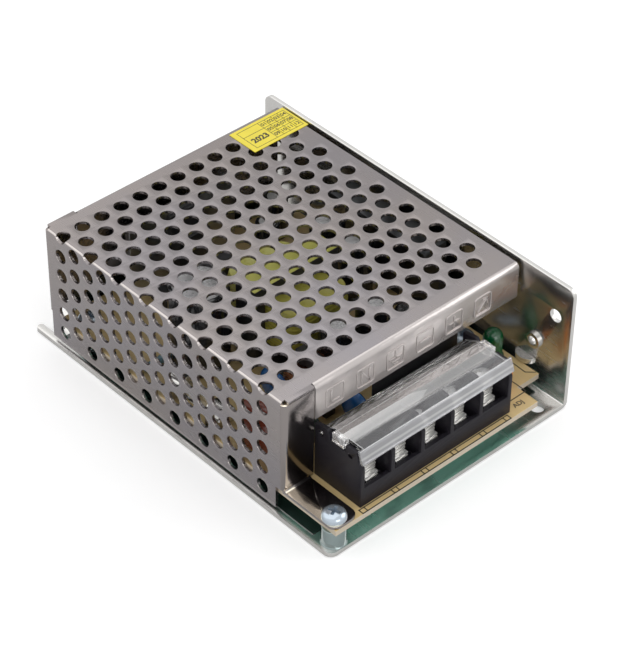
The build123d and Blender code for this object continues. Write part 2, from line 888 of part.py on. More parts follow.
with BuildPart() as trimmer_rotor:
    with BuildSketch(Plane.XY.offset(board_top + trimmer_height + rotor_gap)):
        with Locations(on_board(trimmer_place)):
            RegularPolygon(rotor_radius, can_flats)
    extrude(amount=rotor_height)
    with BuildSketch(Plane.XY.offset(board_top + trimmer_height + rotor_gap)):
        with Locations(on_board(trimmer_place)):
            small_pin(rotor_shaft_radius)
    extrude(amount=-rotor_shaft_length)
    with BuildSketch(Plane.XY.offset(board_top + trimmer_height + rotor_gap + rotor_height)):
        with Locations(on_board(trimmer_place)):
            Rectangle(rotor_slot_length, rotor_slot_width)
    extrude(amount=-rotor_slot_depth, mode=Mode.SUBTRACT)
finish(trimmer_rotor, "trimmer_rotor")

# Transformer: bobbin foot, taped winding, and the ferrite core round both
transformer_x, transformer_y = on_board(transformer_place)
core_base = board_top + bobbin_height
with BuildPart() as transformer_bobbin:
    with BuildSketch(Plane.XY.offset(board_top)):
        with Locations((transformer_x, transformer_y)):
            Rectangle(winding_width + 2 * bobbin_rim, winding_depth + 2 * bobbin_rim)
    extrude(amount=bobbin_height)
finish(transformer_bobbin, "transformer_bobbin")

with BuildPart() as transformer_winding:
    with BuildSketch(Plane.XY.offset(core_base + core_leg)):
        with Locations((transformer_x, transformer_y)):
            RectangleRounded(winding_width, winding_depth, winding_radius)
    extrude(amount=core_height - 2 * core_leg)
finish(transformer_winding, "transformer_winding")

with BuildPart() as transformer_core:
    with BuildSketch(Plane.XZ.offset(-transformer_y)):
        with Locations((transformer_x, core_base + core_height / 2)):
            Rectangle(core_width, core_height)
            Rectangle(winding_width, core_height - 2 * core_leg, mode=Mode.SUBTRACT)
    extrude(amount=core_depth / 2, both=True)
finish(transformer_core, "transformer_core")

# Capacitors
with BuildPart() as bulk_capacitor:
    add(upright_cans([bulk_place], bulk_radius, bulk_height, bulk_crimp))
finish(bulk_capacitor, "bulk_capacitor")

with BuildPart() as output_capacitors:
    add(
        upright_cans(
            output_capacitor_places, output_capacitor_radius, output_capacitor_height, can_crimp
        )
    )
finish(output_capacitors, "output_capacitors")

with BuildPart() as small_capacitors:
    add(
        upright_cans(rear_capacitor_places, rear_capacitor_radius, rear_capacitor_height, can_crimp)
    )
finish(small_capacitors, "small_capacitors")

with BuildPart() as film_capacitor:
    add(upright_block(film_capacitor_place, film_capacitor_size))
    fillet(film_capacitor.edges().filter_by(Axis.Z), film_capacitor_radius)
finish(film_capacitor, "film_capacitor")


with BuildPart() as safety_capacitors:
    for place in disc_places:
        add(standing_disc(place, disc_radius, disc_thickness))
finish(safety_capacitors, "safety_capacitors")

with BuildPart() as inrush_thermistor:
    add(standing_disc(thermistor_place, thermistor_radius, thermistor_thickness))
finish(inrush_thermistor, "inrush_thermistor")

# Mains filter choke: a closed core with two windings on its legs
choke_x, choke_y = on_board(choke_place)
choke_window_height = choke_height - 2 * choke_leg
with BuildPart() as choke_core:
    with BuildSketch(Plane.YZ.offset(choke_x - choke_leg / 2)):
        with Locations((choke_y, board_top + choke_height / 2)):
            Rectangle(choke_depth, choke_height)
            Rectangle(choke_depth - 2 * choke_leg, choke_window_height, mode=Mode.SUBTRACT)
    extrude(amount=choke_leg)
finish(choke_core, "choke_core")

with BuildPart() as choke_windings:
    with BuildSketch(Plane.XY.offset(board_top + choke_leg + choke_wire_gap / 2)):
        for side in (-1, 1):
            with Locations((choke_x, choke_y + side * (choke_depth - choke_leg) / 2)):
                RectangleRounded(choke_width, choke_leg + choke_wire_depth, choke_wire_radius)
                Rectangle(choke_leg, choke_leg, mode=Mode.SUBTRACT)
    extrude(amount=choke_window_height - choke_wire_gap)
finish(choke_windings, "choke_windings")

# Fuse in its clips
fuse_x, fuse_y = on_board(fuse_place)
fuse_height = board_top + fuse_clip_height + fuse_radius
with BuildPart() as line_fuse:
    with BuildSketch(Plane.XZ.offset(-fuse_y - fuse_length / 2)):
        with Locations((fuse_x, fuse_height)):
            Circle(fuse_radius)
    extrude(amount=fuse_length)
finish(line_fuse, "line_fuse")

with BuildPart() as fuse_clips:
    with BuildSketch(Plane.XZ.offset(-fuse_y - fuse_length / 2 + fuse_clip_inset)):
        with Locations((fuse_x, board_top + (fuse_clip_height + fuse_radius) / 2)):
            Rectangle(2 * fuse_radius + 2 * fuse_clip_height, fuse_clip_height + fuse_radius)
        with Locations((fuse_x, fuse_height)):
            Circle(fuse_radius, mode=Mode.SUBTRACT)
    extrude(amount=fuse_clip_length)
    with BuildSketch(Plane.XZ.offset(-fuse_y + fuse_length / 2 - fuse_clip_inset - fuse_clip_length)):
        with Locations((fuse_x, board_top + (fuse_clip_height + fuse_radius) / 2)):
            Rectangle(2 * fuse_radius + 2 * fuse_clip_height, fuse_clip_height + fuse_radius)
        with Locations((fuse_x, fuse_height)):
            Circle(fuse_radius, mode=Mode.SUBTRACT)
    extrude(amount=fuse_clip_length)
finish(fuse_clips, "fuse_clips")

# Power semiconductors and their heat sinks
with BuildPart() as bridge_rectifier:
    add(upright_block(bridge_place, bridge_size))
    tall_edges = bridge_rectifier.edges().filter_by(Axis.Y).group_by(Axis.Z)[-1]
    chamfer(tall_edges.sort_by(Axis.X)[-1], bridge_corner)
finish(bridge_rectifier, "bridge_rectifier")

sink_x, sink_y = on_board(primary_sink_place)
with BuildPart() as primary_heatsink:
    with BuildSketch(Plane.YZ.offset(sink_x - primary_sink_width / 2)):
        rectangle_between(
            sink_y, sink_y + sink_thickness, board_top, board_top + primary_sink_height
        )
        rectangle_between(
            sink_y + sink_thickness,
            sink_y + sink_thickness + primary_sink_foot,
            board_top,
            board_top + sink_thickness,
        )
    extrude(amount=primary_sink_width)
finish(primary_heatsink, "primary_heatsink")

out_x, out_y = on_board(output_sink_place)
with BuildPart() as output_heatsink:
    with BuildSketch(Plane.XZ.offset(-out_y - output_sink_length / 2)):
        rectangle_between(
            out_x, out_x + sink_thickness, board_top, board_top + output_sink_height
        )
        rectangle_between(
            out_x - output_sink_foot,
            out_x,
            board_top + output_sink_height - sink_thickness,
            board_top + output_sink_height,
        )
    extrude(amount=output_sink_length)
finish(output_heatsink, "output_heatsink")

package_width, package_depth, package_height = package_size


def package_profile():
    """Side view of a tabbed package: tab, thicker body, and leads down to the board."""
    with BuildSketch(mode=Mode.PRIVATE) as profile:
        with BuildLine():
            Polyline(
                (0, 0),
                (package_tab, 0),
                (package_tab, -package_stand),
                (package_tab + package_lead, -package_stand),
                (package_tab + package_lead, 0),
                (package_depth, 0),
                (package_depth, package_body_height),
                (package_tab, package_body_height),
                (package_tab, package_height),
                (0, package_height),
                close=True,
            )
        make_face()
    return profile.sketch


switch_plane = Plane(
    origin=(sink_x - package_width / 2, sink_y, board_top + package_stand),
    x_dir=(0, -1, 0),
    z_dir=(-1, 0, 0),
)
output_plane = Plane(
    origin=(out_x, out_y - package_width / 2, board_top + package_stand),
    x_dir=(-1, 0, 0),
    z_dir=(0, 1, 0),
)
with BuildPart() as switching_transistor:
    with BuildSketch(switch_plane):
        add(package_profile())
    extrude(amount=-package_width)
finish(switching_transistor, "switching_transistor")

with BuildPart() as output_rectifier:
    with BuildSketch(output_plane):
        add(package_profile())
    extrude(amount=package_width)
finish(output_rectifier, "output_rectifier")

# Output inductor in its sleeve
with BuildPart() as output_inductor:
    with BuildSketch(Plane.XY.offset(board_top)):
        with Locations(on_board(inductor_place)):
            RegularPolygon(inductor_radius, can_flats)
    extrude(amount=inductor_height)
    chamfer(output_inductor.edges().group_by(Axis.Z)[-1], inductor_bevel)
finish(output_inductor, "output_inductor")

# Small parts
with BuildPart() as controller_chip:
    add(upright_block(controller_place, controller_size))
finish(controller_chip, "controller_chip")

with BuildPart() as optocoupler:
    add(upright_block(optocoupler_place, optocoupler_size))
finish(optocoupler, "optocoupler")

with BuildPart() as resistors:
    for place in resistor_places:
        resistor_x, resistor_y = on_board(place)
        with BuildSketch(Plane.YZ.offset(resistor_x - resistor_length / 2)):
            with Locations((resistor_y, board_top + resistor_radius)):
                small_pin(resistor_radius)
        extrude(amount=resistor_length)
finish(resistors, "resistors")

# Date label on the rear right corner of the cover
label_right = cover_right + label_overhang
with BuildPart() as date_label:
    with BuildSketch(Plane.XY.offset(cover_top)):
        rectangle_between(
            label_right - label_size_x,
            label_right,
            cover_rear - label_rear_inset - label_size_y,
            cover_rear - label_rear_inset,
        )
    extrude(amount=label_thickness)
finish(date_label, "date_label")
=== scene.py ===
"""Dresses the enclosed power supply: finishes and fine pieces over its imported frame."""

import json
from math import cos, pi, radians, sin, sqrt

import bmesh
import bpy
from bpy.props import FloatProperty, FloatVectorProperty, IntProperty, PointerProperty
from mathutils import Euler, Matrix, Vector

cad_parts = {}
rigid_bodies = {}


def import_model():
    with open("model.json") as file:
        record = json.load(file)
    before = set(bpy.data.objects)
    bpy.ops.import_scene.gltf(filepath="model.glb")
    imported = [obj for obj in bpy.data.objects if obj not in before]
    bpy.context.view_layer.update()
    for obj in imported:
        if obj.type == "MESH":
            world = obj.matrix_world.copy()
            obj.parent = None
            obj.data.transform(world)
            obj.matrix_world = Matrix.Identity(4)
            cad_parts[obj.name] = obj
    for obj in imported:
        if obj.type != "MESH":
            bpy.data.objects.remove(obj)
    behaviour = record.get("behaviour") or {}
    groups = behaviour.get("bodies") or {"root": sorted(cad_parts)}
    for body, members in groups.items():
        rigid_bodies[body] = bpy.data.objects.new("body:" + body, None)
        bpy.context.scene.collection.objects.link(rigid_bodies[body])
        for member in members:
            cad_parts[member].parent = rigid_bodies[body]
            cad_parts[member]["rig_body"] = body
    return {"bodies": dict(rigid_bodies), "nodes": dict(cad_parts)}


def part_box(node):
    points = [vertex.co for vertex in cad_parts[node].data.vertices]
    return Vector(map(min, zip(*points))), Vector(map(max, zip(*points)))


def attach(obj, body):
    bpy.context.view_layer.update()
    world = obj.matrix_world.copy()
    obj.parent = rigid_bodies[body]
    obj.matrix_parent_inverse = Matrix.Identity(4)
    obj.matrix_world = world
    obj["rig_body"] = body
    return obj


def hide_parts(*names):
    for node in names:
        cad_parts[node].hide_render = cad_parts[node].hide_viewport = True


bl_info = {
    "name": "Enclosed Power Supply",
    "version": (1, 0, 0),
    "blender": (4, 5, 0),
    "location": "View3D > Sidebar > Power Supply",
    "description": "Builds the cover, terminals, parts and finishes of an enclosed power supply",
    "category": "Object",
}

MM = 0.001
X_AXIS = Vector((1, 0, 0))
Y_AXIS = Vector((0, 1, 0))
Z_AXIS = Vector((0, 0, 1))
SMOOTH_ANGLE = 32.0
TERMINAL_PITCH = 9.5

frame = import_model()
BODY_OF = {node: body for body in frame["bodies"] for node in frame["nodes"]
           if frame["nodes"][node]["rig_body"] == body}
POLES = len([node for node in frame["nodes"] if node.startswith("terminal_screw_")])


def low(node):
    """Lowest corner of a node, in millimetres."""
    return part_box(node)[0] / MM


def high(node):
    """Highest corner of a node, in millimetres."""
    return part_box(node)[1] / MM


def middle(node):
    """Centre of a node's box, in millimetres."""
    return (low(node) + high(node)) / 2


COVER_LOW, COVER_HIGH = low("perforated_cover"), high("perforated_cover")
COVER_BOTTOM = low("cover_side_wall").z
FOOT_LOW, FOOT_HIGH = low("cover_foot"), high("cover_foot")
BOARD_LOW = low("circuit_board")
BOARD_TOP = high("circuit_board").z
BLOCK_LOW, BLOCK_HIGH = low("terminal_housing"), high("terminal_housing")


# Sizes and colours that a user would change


def length(name, description, millimetres):
    """A length property, given in millimetres."""
    return FloatProperty(
        name=name, description=description, default=millimetres * MM, min=0.0, precision=5,
        unit="LENGTH",
    )


def colour(name, description, red, green, blue):
    """A colour property."""
    return FloatVectorProperty(
        name=name, description=description, default=(red, green, blue), min=0.0, max=1.0,
        subtype="COLOR", size=3,
    )


class CoverSettings(bpy.types.PropertyGroup):
    sheet: length("Sheet", "Thickness of the cover sheet", 0.8)
    bend: length("Bend radius", "Outer radius of the folds", 1.3)
    hole: length("Hole", "Diameter of a ventilation hole", 3.8)
    pitch: length("Pitch", "Distance between neighbouring holes", 6.0)
    rim: length("Hole rim", "Width of the rounded rim of a hole", 0.12)
    steel: colour("Steel", "Colour of the cover", 0.30, 0.272, 0.264)
    base_steel: colour("Base steel", "Colour of the base", 0.64, 0.63, 0.61)


class TerminalSettings(bpy.types.PropertyGroup):
    softening: length("Edge softening", "Bevel of the moulded edges", 0.14)
    ridges: IntProperty(name="Ridges", description="Ridges on a clamp", default=3, min=1)
    moulding: colour("Moulding", "Colour of the housing", 0.011, 0.0095, 0.0135)
    metal: colour("Metal", "Colour of clamps and screws", 0.93, 0.92, 0.89)


class BoardSettings(bpy.types.PropertyGroup):
    line: length("Printed line", "Width of a printed line", 0.30)
    laminate: colour("Laminate", "Colour of the top of the board", 0.62, 0.465, 0.225)
    solder_side: colour("Solder side", "Colour of the underside", 0.20, 0.46, 0.38)
    ink: colour("Ink", "Colour of the printing", 0.035, 0.03, 0.02)


class PartSettings(bpy.types.PropertyGroup):
    tape: colour("Tape", "Colour of the transformer tape", 0.60, 0.56, 0.10)
    sleeve: colour("Sleeve", "Colour of the capacitor sleeves", 0.012, 0.013, 0.016)
    disc: colour("Disc", "Colour of the safety capacitors", 0.015, 0.11, 0.32)
    lamp: colour("Lamp", "Colour of the indicator lamp", 0.004, 0.16, 0.05)
    trimmer: colour("Trimmer", "Colour of the trimmer", 0.62, 0.20, 0.03)
    label: colour("Label", "Colour of the date label", 0.72, 0.60, 0.035)


class StageSettings(bpy.types.PropertyGroup):
    lens: FloatProperty(name="Lens", description="Focal length", default=140.69, unit="CAMERA")
    lamp_power: FloatProperty(
        name="Lamp", description="Power of the main lamp", default=4.0, unit="POWER"
    )
    sky: FloatProperty(name="Sky", description="Strength of the soft light", default=0.62)


# Shader nodes written as sums


class Level:
    """A shader value that takes part in sums as a plain number does."""

    def __init__(self, finish, socket):
        self.finish = finish
        self.socket = socket

    def step(self, operation, first, second):
        node = self.finish.node("ShaderNodeMath", {"operation": operation}, {0: first, 1: second})
        return Level(self.finish, node.outputs[0])

    def __add__(self, other):
        return self.step("ADD", self, other)

    def __radd__(self, other):
        return self.step("ADD", other, self)

    def __sub__(self, other):
        return self.step("SUBTRACT", self, other)

    def __rsub__(self, other):
        return self.step("SUBTRACT", other, self)

    def __mul__(self, other):
        return self.step("MULTIPLY", self, other)

    def __rmul__(self, other):
        return self.step("MULTIPLY", other, self)

    def __gt__(self, other):
        return self.step("GREATER_THAN", self, other)

    def __lt__(self, other):
        return self.step("LESS_THAN", self, other)


class NodeTree:
    """The nodes of a material or of the world."""

    def __init__(self, tree):
        self.tree = tree
        self.tree.nodes.clear()

    def node(self, kind, settings=None, inputs=None):
        """A node with its settings, and a value or a link for each of its inputs."""
        made = self.tree.nodes.new(kind)
        for key, value in (settings or {}).items():
            setattr(made, key, value)
        for key, value in (inputs or {}).items():
            socket = made.inputs[key]
            if isinstance(value, Level):
                self.tree.links.new(value.socket, socket)
            elif isinstance(value, bpy.types.NodeSocket):
                self.tree.links.new(value, socket)
            elif socket.type == "RGBA":
                socket.default_value = (*value[:3], 1.0)
            else:
                socket.default_value = value
        return made


class Finish(NodeTree):
    """One material, with a Principled shader and the nodes that vary it over the surface."""

    def __init__(self, name, **constants):
        """Constants are sockets of the shader; underscores in a name stand for spaces."""
        self.material = bpy.data.materials.new(name)
        self.material.use_nodes = True
        super().__init__(self.material.node_tree)
        constants = {key.replace("_", " "): value for key, value in constants.items()}
        self.shader = self.node("ShaderNodeBsdfPrincipled", None, constants)
        self.output = self.node(
            "ShaderNodeOutputMaterial", None, {"Surface": self.shader.outputs[0]}
        )
        self.place = self.node("ShaderNodeTexCoord").outputs["Object"]

    def stretched(self, across, along, up):
        """The place on the piece, scaled by a number for each axis."""
        node = self.node(
            "ShaderNodeVectorMath", {"operation": "MULTIPLY"},
            {0: self.place, 1: (across, along, up)},
        )
        return node.outputs[0]

    def axis(self, name):
        """One coordinate of the place on the piece, in metres."""
        node = self.node("ShaderNodeSeparateXYZ", None, {0: self.place})
        return Level(self, node.outputs[name])

    def clouds(self, scale, detail=3.0, place=None):
        """Soft noise from 0 to 1."""
        node = self.node(
            "ShaderNodeTexNoise", None,
            {"Vector": place or self.place, "Scale": scale, "Detail": detail},
        )
        return Level(self, node.outputs[0])

    def spread(self, level, start, end):
        """The level from start to end, stretched to 0 to 1."""
        node = self.node(
            "ShaderNodeMapRange", {"clamp": True},
            {0: level, 1: start, 2: end, 3: 0.0, 4: 1.0},
        )
        return Level(self, node.outputs[0])

    def bands(self, scale, distortion):
        """Level sine bands, one above the other, from 0 to 1."""
        node = self.node(
            "ShaderNodeTexWave", {"bands_direction": "Z"},
            {"Vector": self.place, "Scale": scale, "Distortion": distortion},
        )
        return Level(self, node.outputs["Fac"])

    def facing(self, axis):
        """How far the surface faces along an axis, from -1 to 1."""
        normal = self.node("ShaderNodeNewGeometry").outputs["True Normal"]
        node = self.node("ShaderNodeSeparateXYZ", None, {0: normal})
        return Level(self, node.outputs[axis])

    def mixed(self, factor, first, second, blend="MIX"):
        """Two colours mixed by a level."""
        node = self.node(
            "ShaderNodeMix", {"data_type": "RGBA", "blend_type": blend},
            {0: factor, 6: first, 7: second},
        )
        return node.outputs[2]

    def set(self, **sockets):
        """Feed the shader; underscores in a name stand for spaces."""
        for key, value in sockets.items():
            socket = self.shader.inputs[key.replace("_", " ")]
            self.tree.links.new(value.socket if isinstance(value, Level) else value, socket)
        return self

    def shown(self, shader):
        """Show this shader in place of the Principled one."""
        self.tree.links.new(shader.outputs[0], self.output.inputs[0])

    def relief(self, level, depth):
        """Fine relief from a level, with its depth in metres."""
        node = self.node(
            "ShaderNodeBump", None, {"Height": level, "Distance": depth, "Strength": 1.0}
        )
        return self.set(Normal=node.outputs[0])


def plated_metal(name, tint, roughness, streak=(1.0, 0.12, 1.0), wear=0.10, grain=0.000004,
                 metallic=1.0):
    """Plated sheet: faint streaks, handling marks and a fine rolled grain."""
    finish = Finish(name, Metallic=metallic)
    dark = tuple(part * (1 - wear) for part in tint)
    light = tuple(min(1.0, part * (1 + wear)) for part in tint)
    patches = finish.clouds(55.0, 4.0)
    streaks = finish.clouds(900.0, 4.0, finish.stretched(*streak))
    finish.set(Base_Color=finish.mixed(finish.spread(patches, 0.3, 0.7), dark, light))
    finish.set(Roughness=patches * 0.10 + streaks * 0.08 + (roughness - 0.09))
    return finish.relief(streaks, grain)


def moulded(name, tint, roughness=0.42, grain=0.00001, scale=2600.0, coat=0.0, gloss=0.5):
    """Moulded plastic or epoxy: fine grain and a slightly uneven gloss."""
    finish = Finish(name, Coat_Weight=coat, Coat_Roughness=0.08, Specular_IOR_Level=gloss)
    patches = finish.clouds(240.0, 3.0)
    fine = finish.clouds(scale, 2.0)
    light = tuple(min(1.0, part * 1.28 + 0.002) for part in tint)
    finish.set(Base_Color=finish.mixed(patches, tint, light))
    finish.set(Roughness=fine * 0.12 + patches * 0.10 + (roughness - 0.11))
    return finish.relief(fine, grain)


def clear_plastic(name, tint, roughness, clearness=1.0, coat=0.0):
    """Clear moulding that lets the light through to what it covers."""
    finish = Finish(
        name, Base_Color=tint, Transmission_Weight=clearness, IOR=1.5, Coat_Weight=coat,
        Coat_Roughness=0.03, Coat_IOR=2.9,
    )
    marks = finish.clouds(420.0, 4.0)
    finish.set(Roughness=finish.spread(marks, 0.55, 0.75) * 0.05 + roughness)
    finish.relief(finish.clouds(160.0, 1.0), 0.00002)
    shadow = finish.node("ShaderNodeLightPath").outputs["Is Shadow Ray"]
    open_air = finish.node("ShaderNodeBsdfTransparent", None, {"Color": (0.9, 0.92, 0.92)})
    both = finish.node(
        "ShaderNodeMixShader", None,
        {0: shadow, 1: finish.shader.outputs[0], 2: open_air.outputs[0]},
    )
    finish.shown(both)
    return finish


# Meshes


def oval(centre, across, up, steps):
    """Points round an oval, counter-clockwise."""
    turn = 2 * pi / steps
    return [
        (centre[0] + across * cos(i * turn), centre[1] + up * sin(i * turn))
        for i in range(steps)
    ]


def circle(centre, across, beside, radius, steps):
    """Points round a circle in space, in the plane of two directions."""
    return [
        centre + across * (radius * cos(2 * pi * i / steps))
        + beside * (radius * sin(2 * pi * i / steps))
        for i in range(steps)
    ]


def corner(centre, radius, start, end, steps=6):
    """Points of an arc, with its angles in degrees."""
    return [
        (
            centre[0] + radius * cos(radians(start + (end - start) * i / steps)),
            centre[1] + radius * sin(radians(start + (end - start) * i / steps)),
        )
        for i in range(steps + 1)
    ]


def rounded(x0, x1, y0, y1, radius):
    """Outline of a rectangle with rounded corners."""
    return (
        corner((x1 - radius, y1 - radius), radius, 0, 90)
        + corner((x0 + radius, y1 - radius), radius, 90, 180)
        + corner((x0 + radius, y0 + radius), radius, 180, 270)
        + corner((x1 - radius, y0 + radius), radius, 270, 360)
    )


class Shape:
    """A mesh that is built up in millimetres, with one number for the finish of each face."""

    def __init__(self):
        self.bm = bmesh.new()

    def face(self, corners, finish=0):
        made = self.bm.faces.new([self.bm.verts.new(point) for point in corners])
        made.material_index = finish

    def layer(self, corners, level, flip):
        """Flat face at a level of the unfolded sheet, turned over where flip says so."""
        points = [(u, v, level) for u, v in corners]
        self.face(points[::-1] if flip else points)

    def split(self, point, normal):
        """Split the faces along a plane."""
        geometry = self.bm.verts[:] + self.bm.edges[:] + self.bm.faces[:]
        bmesh.ops.bisect_plane(
            self.bm, geom=geometry, plane_co=point, plane_no=normal, dist=0.0005
        )

    def skin(self, loops, finish=0, caps=True, finishes=None):
        """Join loops of points, each with as many points, into one closed skin."""
        rings = [[self.bm.verts.new(point) for point in loop] for loop in loops]
        for number, (near, far) in enumerate(zip(rings, rings[1:])):
            for i in range(len(near)):
                j = (i + 1) % len(near)
                made = self.bm.faces.new((near[i], near[j], far[j], far[i]))
                made.material_index = finishes[number] if finishes else finish
        if caps:
            first = self.bm.faces.new(rings[0][::-1])
            last = self.bm.faces.new(rings[-1])
            first.material_index = finishes[0] if finishes else finish
            last.material_index = finishes[-1] if finishes else finish

    def prism(self, outline, origin, across, up, reach, finish=0, taper=1.0):
        """Sweep a flat outline by a vector, with its far end scaled by a taper."""
        origin, reach = Vector(origin), Vector(reach)
        near = [origin + across * a + up * b for a, b in outline]
        far = [origin + reach + (across * a + up * b) * taper for a, b in outline]
        self.skin([near, far], finish)

    def block(self, x0, x1, y0, y1, z0, z1):
        """Block between two corners."""
        outline = [(x0, y0), (x1, y0), (x1, y1), (x0, y1)]
        self.prism(outline, (0, 0, z0), X_AXIS, Y_AXIS, (0, 0, z1 - z0))

    def turned(self, profile, centre, axis=Z_AXIS, steps=32, finish=0, finishes=None):
        """Turn a profile of (radius, height) points about an axis through a centre."""
        across = axis.orthogonal().normalized()
        beside = axis.cross(across)
        loops = [
            circle(Vector(centre) + axis * height, across, beside, max(radius, 0.01), steps)
            for radius, height in profile
        ]
        self.skin(loops, finish, True, finishes)

    def wire(self, points, radius, finish):
        """Round wire through points, with its ends square to its first and last run."""
        points = [Vector(point) for point in points]
        loops = []
        for number, point in enumerate(points):
            before = points[max(number - 1, 0)]
            after = points[min(number + 1, len(points) - 1)]
            along = (after - before).normalized()
            across = (Z_AXIS if abs(along.z) < 0.9 else X_AXIS).cross(along).normalized()
            beside = along.cross(across)
            loops.append(circle(point, across, beside, radius, 8))
        self.skin(loops, finish)

    def soften(self, width, segments=2, angle=28.0, finish=-1):
        """Bevel the sharp edges, with a finish of their own unless it is -1."""
        bmesh.ops.remove_doubles(self.bm, verts=self.bm.verts, dist=0.0005)
        bmesh.ops.recalc_face_normals(self.bm, faces=self.bm.faces)
        sharp = [
            edge for edge in self.bm.edges
            if len(edge.link_faces) == 2 and edge.calc_face_angle(0.0) > radians(angle)
        ]
        bmesh.ops.bevel(
            self.bm, geom=sharp, offset=width, offset_type="OFFSET", segments=segments,
            profile=0.5, affect="EDGES", clamp_overlap=True, material=finish,
        )
        return self

    def mesh(self, name, smooth=SMOOTH_ANGLE, turn_out=True):
        """Finish the mesh, in metres, with its faces turned outward unless they are already."""
        if turn_out:
            bmesh.ops.recalc_face_normals(self.bm, faces=self.bm.faces)
        bmesh.ops.scale(self.bm, verts=self.bm.verts, vec=(MM, MM, MM))
        mesh = bpy.data.meshes.new(name)
        self.bm.to_mesh(mesh)
        self.bm.free()
        mesh.shade_smooth()
        mesh.set_sharp_from_angle(angle=radians(smooth))
        return mesh


def copied(*nodes, joint=None):
    """Shapes of nodes as faces that can be worked on, without those where two nodes meet."""
    shape = Shape()
    for node in nodes:
        shape.bm.from_mesh(frame["nodes"][node].data)
    for face in shape.bm.faces:
        face.material_index = 0
    bmesh.ops.scale(shape.bm, verts=shape.bm.verts, vec=(1 / MM, 1 / MM, 1 / MM))
    if joint is not None:
        met = [
            face for face in shape.bm.faces
            if all(abs(vertex.co.z - joint) < 0.01 for vertex in face.verts)
        ]
        bmesh.ops.delete(shape.bm, geom=met, context="FACES")
    bmesh.ops.remove_doubles(shape.bm, verts=shape.bm.verts, dist=0.002)
    bmesh.ops.dissolve_limit(
        shape.bm, angle_limit=radians(0.6), verts=shape.bm.verts, edges=shape.bm.edges
    )
    return shape


def cut(mesh, cutter):
    """The mesh with a cutter's mesh taken away."""
    scene = bpy.context.scene
    kept = bpy.data.objects.new("kept", mesh)
    tool = bpy.data.objects.new("tool", cutter)
    scene.collection.objects.link(kept)
    scene.collection.objects.link(tool)
    carve = kept.modifiers.new("carve", "BOOLEAN")
    carve.operation = "DIFFERENCE"
    carve.solver = "EXACT"
    carve.object = tool
    graph = bpy.context.evaluated_depsgraph_get()
    made = bpy.data.meshes.new_from_object(kept.evaluated_get(graph))
    bpy.data.objects.remove(kept)
    bpy.data.objects.remove(tool)
    made.set_sharp_from_angle(angle=radians(SMOOTH_ANGLE))
    return made


def place(name, shape, finishes, like, replaces=()):
    """Put a shape or mesh in the scene, on the body of a node, in place of some nodes."""
    mesh = shape.mesh(name) if isinstance(shape, Shape) else shape
    made = bpy.data.objects.new(name, mesh)
    bpy.context.scene.collection.objects.link(made)
    numbers = [face.material_index for face in mesh.polygons]
    mesh.materials.clear()
    for finish in finishes:
        mesh.materials.append(finish.material)
    mesh.polygons.foreach_set("material_index", numbers)
    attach(made, BODY_OF[like])
    if replaces:
        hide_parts(*replaces)


def softened(node, name, width, finish, segments=2):
    """Put a copy of a node with softened edges in its place."""
    place(name, copied(node).soften(width, segments), [finish], node, [node])


def dress(node, finish):
    """Give a node that stays its finish."""
    for holder in frame["nodes"][node].material_slots:
        holder.material = finish.material


# Cover


def cover_finish(settings):
    """Satin plated steel of the cover: patches, painted shade darkening the top towards the rear,
    painted light making the other faces paler, and painted highlights on the bends.
    """
    finish = plated_metal("satin_plated_steel", settings.steel, 0.27, (1.0, 0.10, 1.0))
    warm = settings.steel
    cool = (warm[0] * 0.93, warm[1] * 0.96, warm[2] * 1.03)
    patches = finish.spread(finish.clouds(28.0, 4.0), 0.38, 0.62)
    sheet = finish.mixed(patches, cool, warm)
    slope = finish.facing("Z")
    # Painted shade: the top is darkened towards the rear. Painted light: faces other than the top
    # are made paler by 1.12.
    rear = finish.spread(finish.axis("Y"), COVER_LOW.y * MM, (COVER_LOW.y + 40.0) * MM)
    painted_top_shade = finish.mixed(rear, (1.0, 1.0, 1.0), (0.86, 0.85, 0.84))
    painted_light_and_shade = finish.mixed(slope > 0.7, (1.12, 1.12, 1.12), painted_top_shade)
    shaded = finish.mixed(1.0, sheet, painted_light_and_shade, "MULTIPLY")
    # Painted highlight: faces that slope part way up, on the bends and on hole rims in the wall,
    # get a pale colour.
    bend = (slope > 0.55) * (slope < 0.8)
    return finish.set(Base_Color=finish.mixed(bend, shaded, (0.54, 0.50, 0.48)))


def mirror_finish(settings):
    """Bright steel of the front flange and foot, with a painted reflection: a paler cream strip
    along the foot's outer edge.
    """
    steel = settings.steel
    reflection_width, fade = 2.5, 0.5
    finish = plated_metal("bright_plated_steel", steel, 0.14, (1.0, 1.0, 0.1), 0.04)
    # Painted reflection: the upward faces near the foot's outer edge are painted cream.
    reflection_edge = FOOT_LOW.x + reflection_width
    outer = finish.spread(finish.axis("X"), (reflection_edge + fade) * MM, reflection_edge * MM)
    painted_reflection_strip = outer * (finish.facing("Z") > 0.7)
    return finish.set(Base_Color=finish.mixed(painted_reflection_strip, steel, (0.98, 0.90, 0.74)))


def lip_finish():
    """Pressed steel of the front lip, painted paler than the cover's steel as painted light on the
    lip, and slightly wavy from the press.
    """
    # Painted light: the lip's steel tint is raised well above the cover's.
    finish = plated_metal("painted_light_pressed_steel", (0.56, 0.52, 0.505), 0.20, (0.1, 1.0, 1.0), 0.05,
                          metallic=0.68)
    return finish.relief(finish.clouds(170.0, 2.0), 0.00022)


def cover_holes(settings):
    """Rows of holes on the unfolded cover: for each row its place along Y and its centres.

    Across the unfolded sheet, zero is where the top meets the bend, and the wall lies below it.
    """
    first_row_inset, rear_margin, edge_inset = 7.4, 3.0, 1.07
    pitch = settings.pitch / MM
    row_pitch = pitch * sqrt(3) / 2
    first_row = COVER_LOW.y + first_row_inset
    last_row = COVER_HIGH.y - settings.bend / MM - rear_margin
    first_column = edge_inset - settings.bend / MM
    for row in range(int((last_row - first_row) / row_pitch) + 1):
        shift = pitch / 2 if row % 2 else 0.0
        centres = [first_column + shift + pitch * i for i in range(-5, 12)]
        yield first_row + row * row_pitch, centres


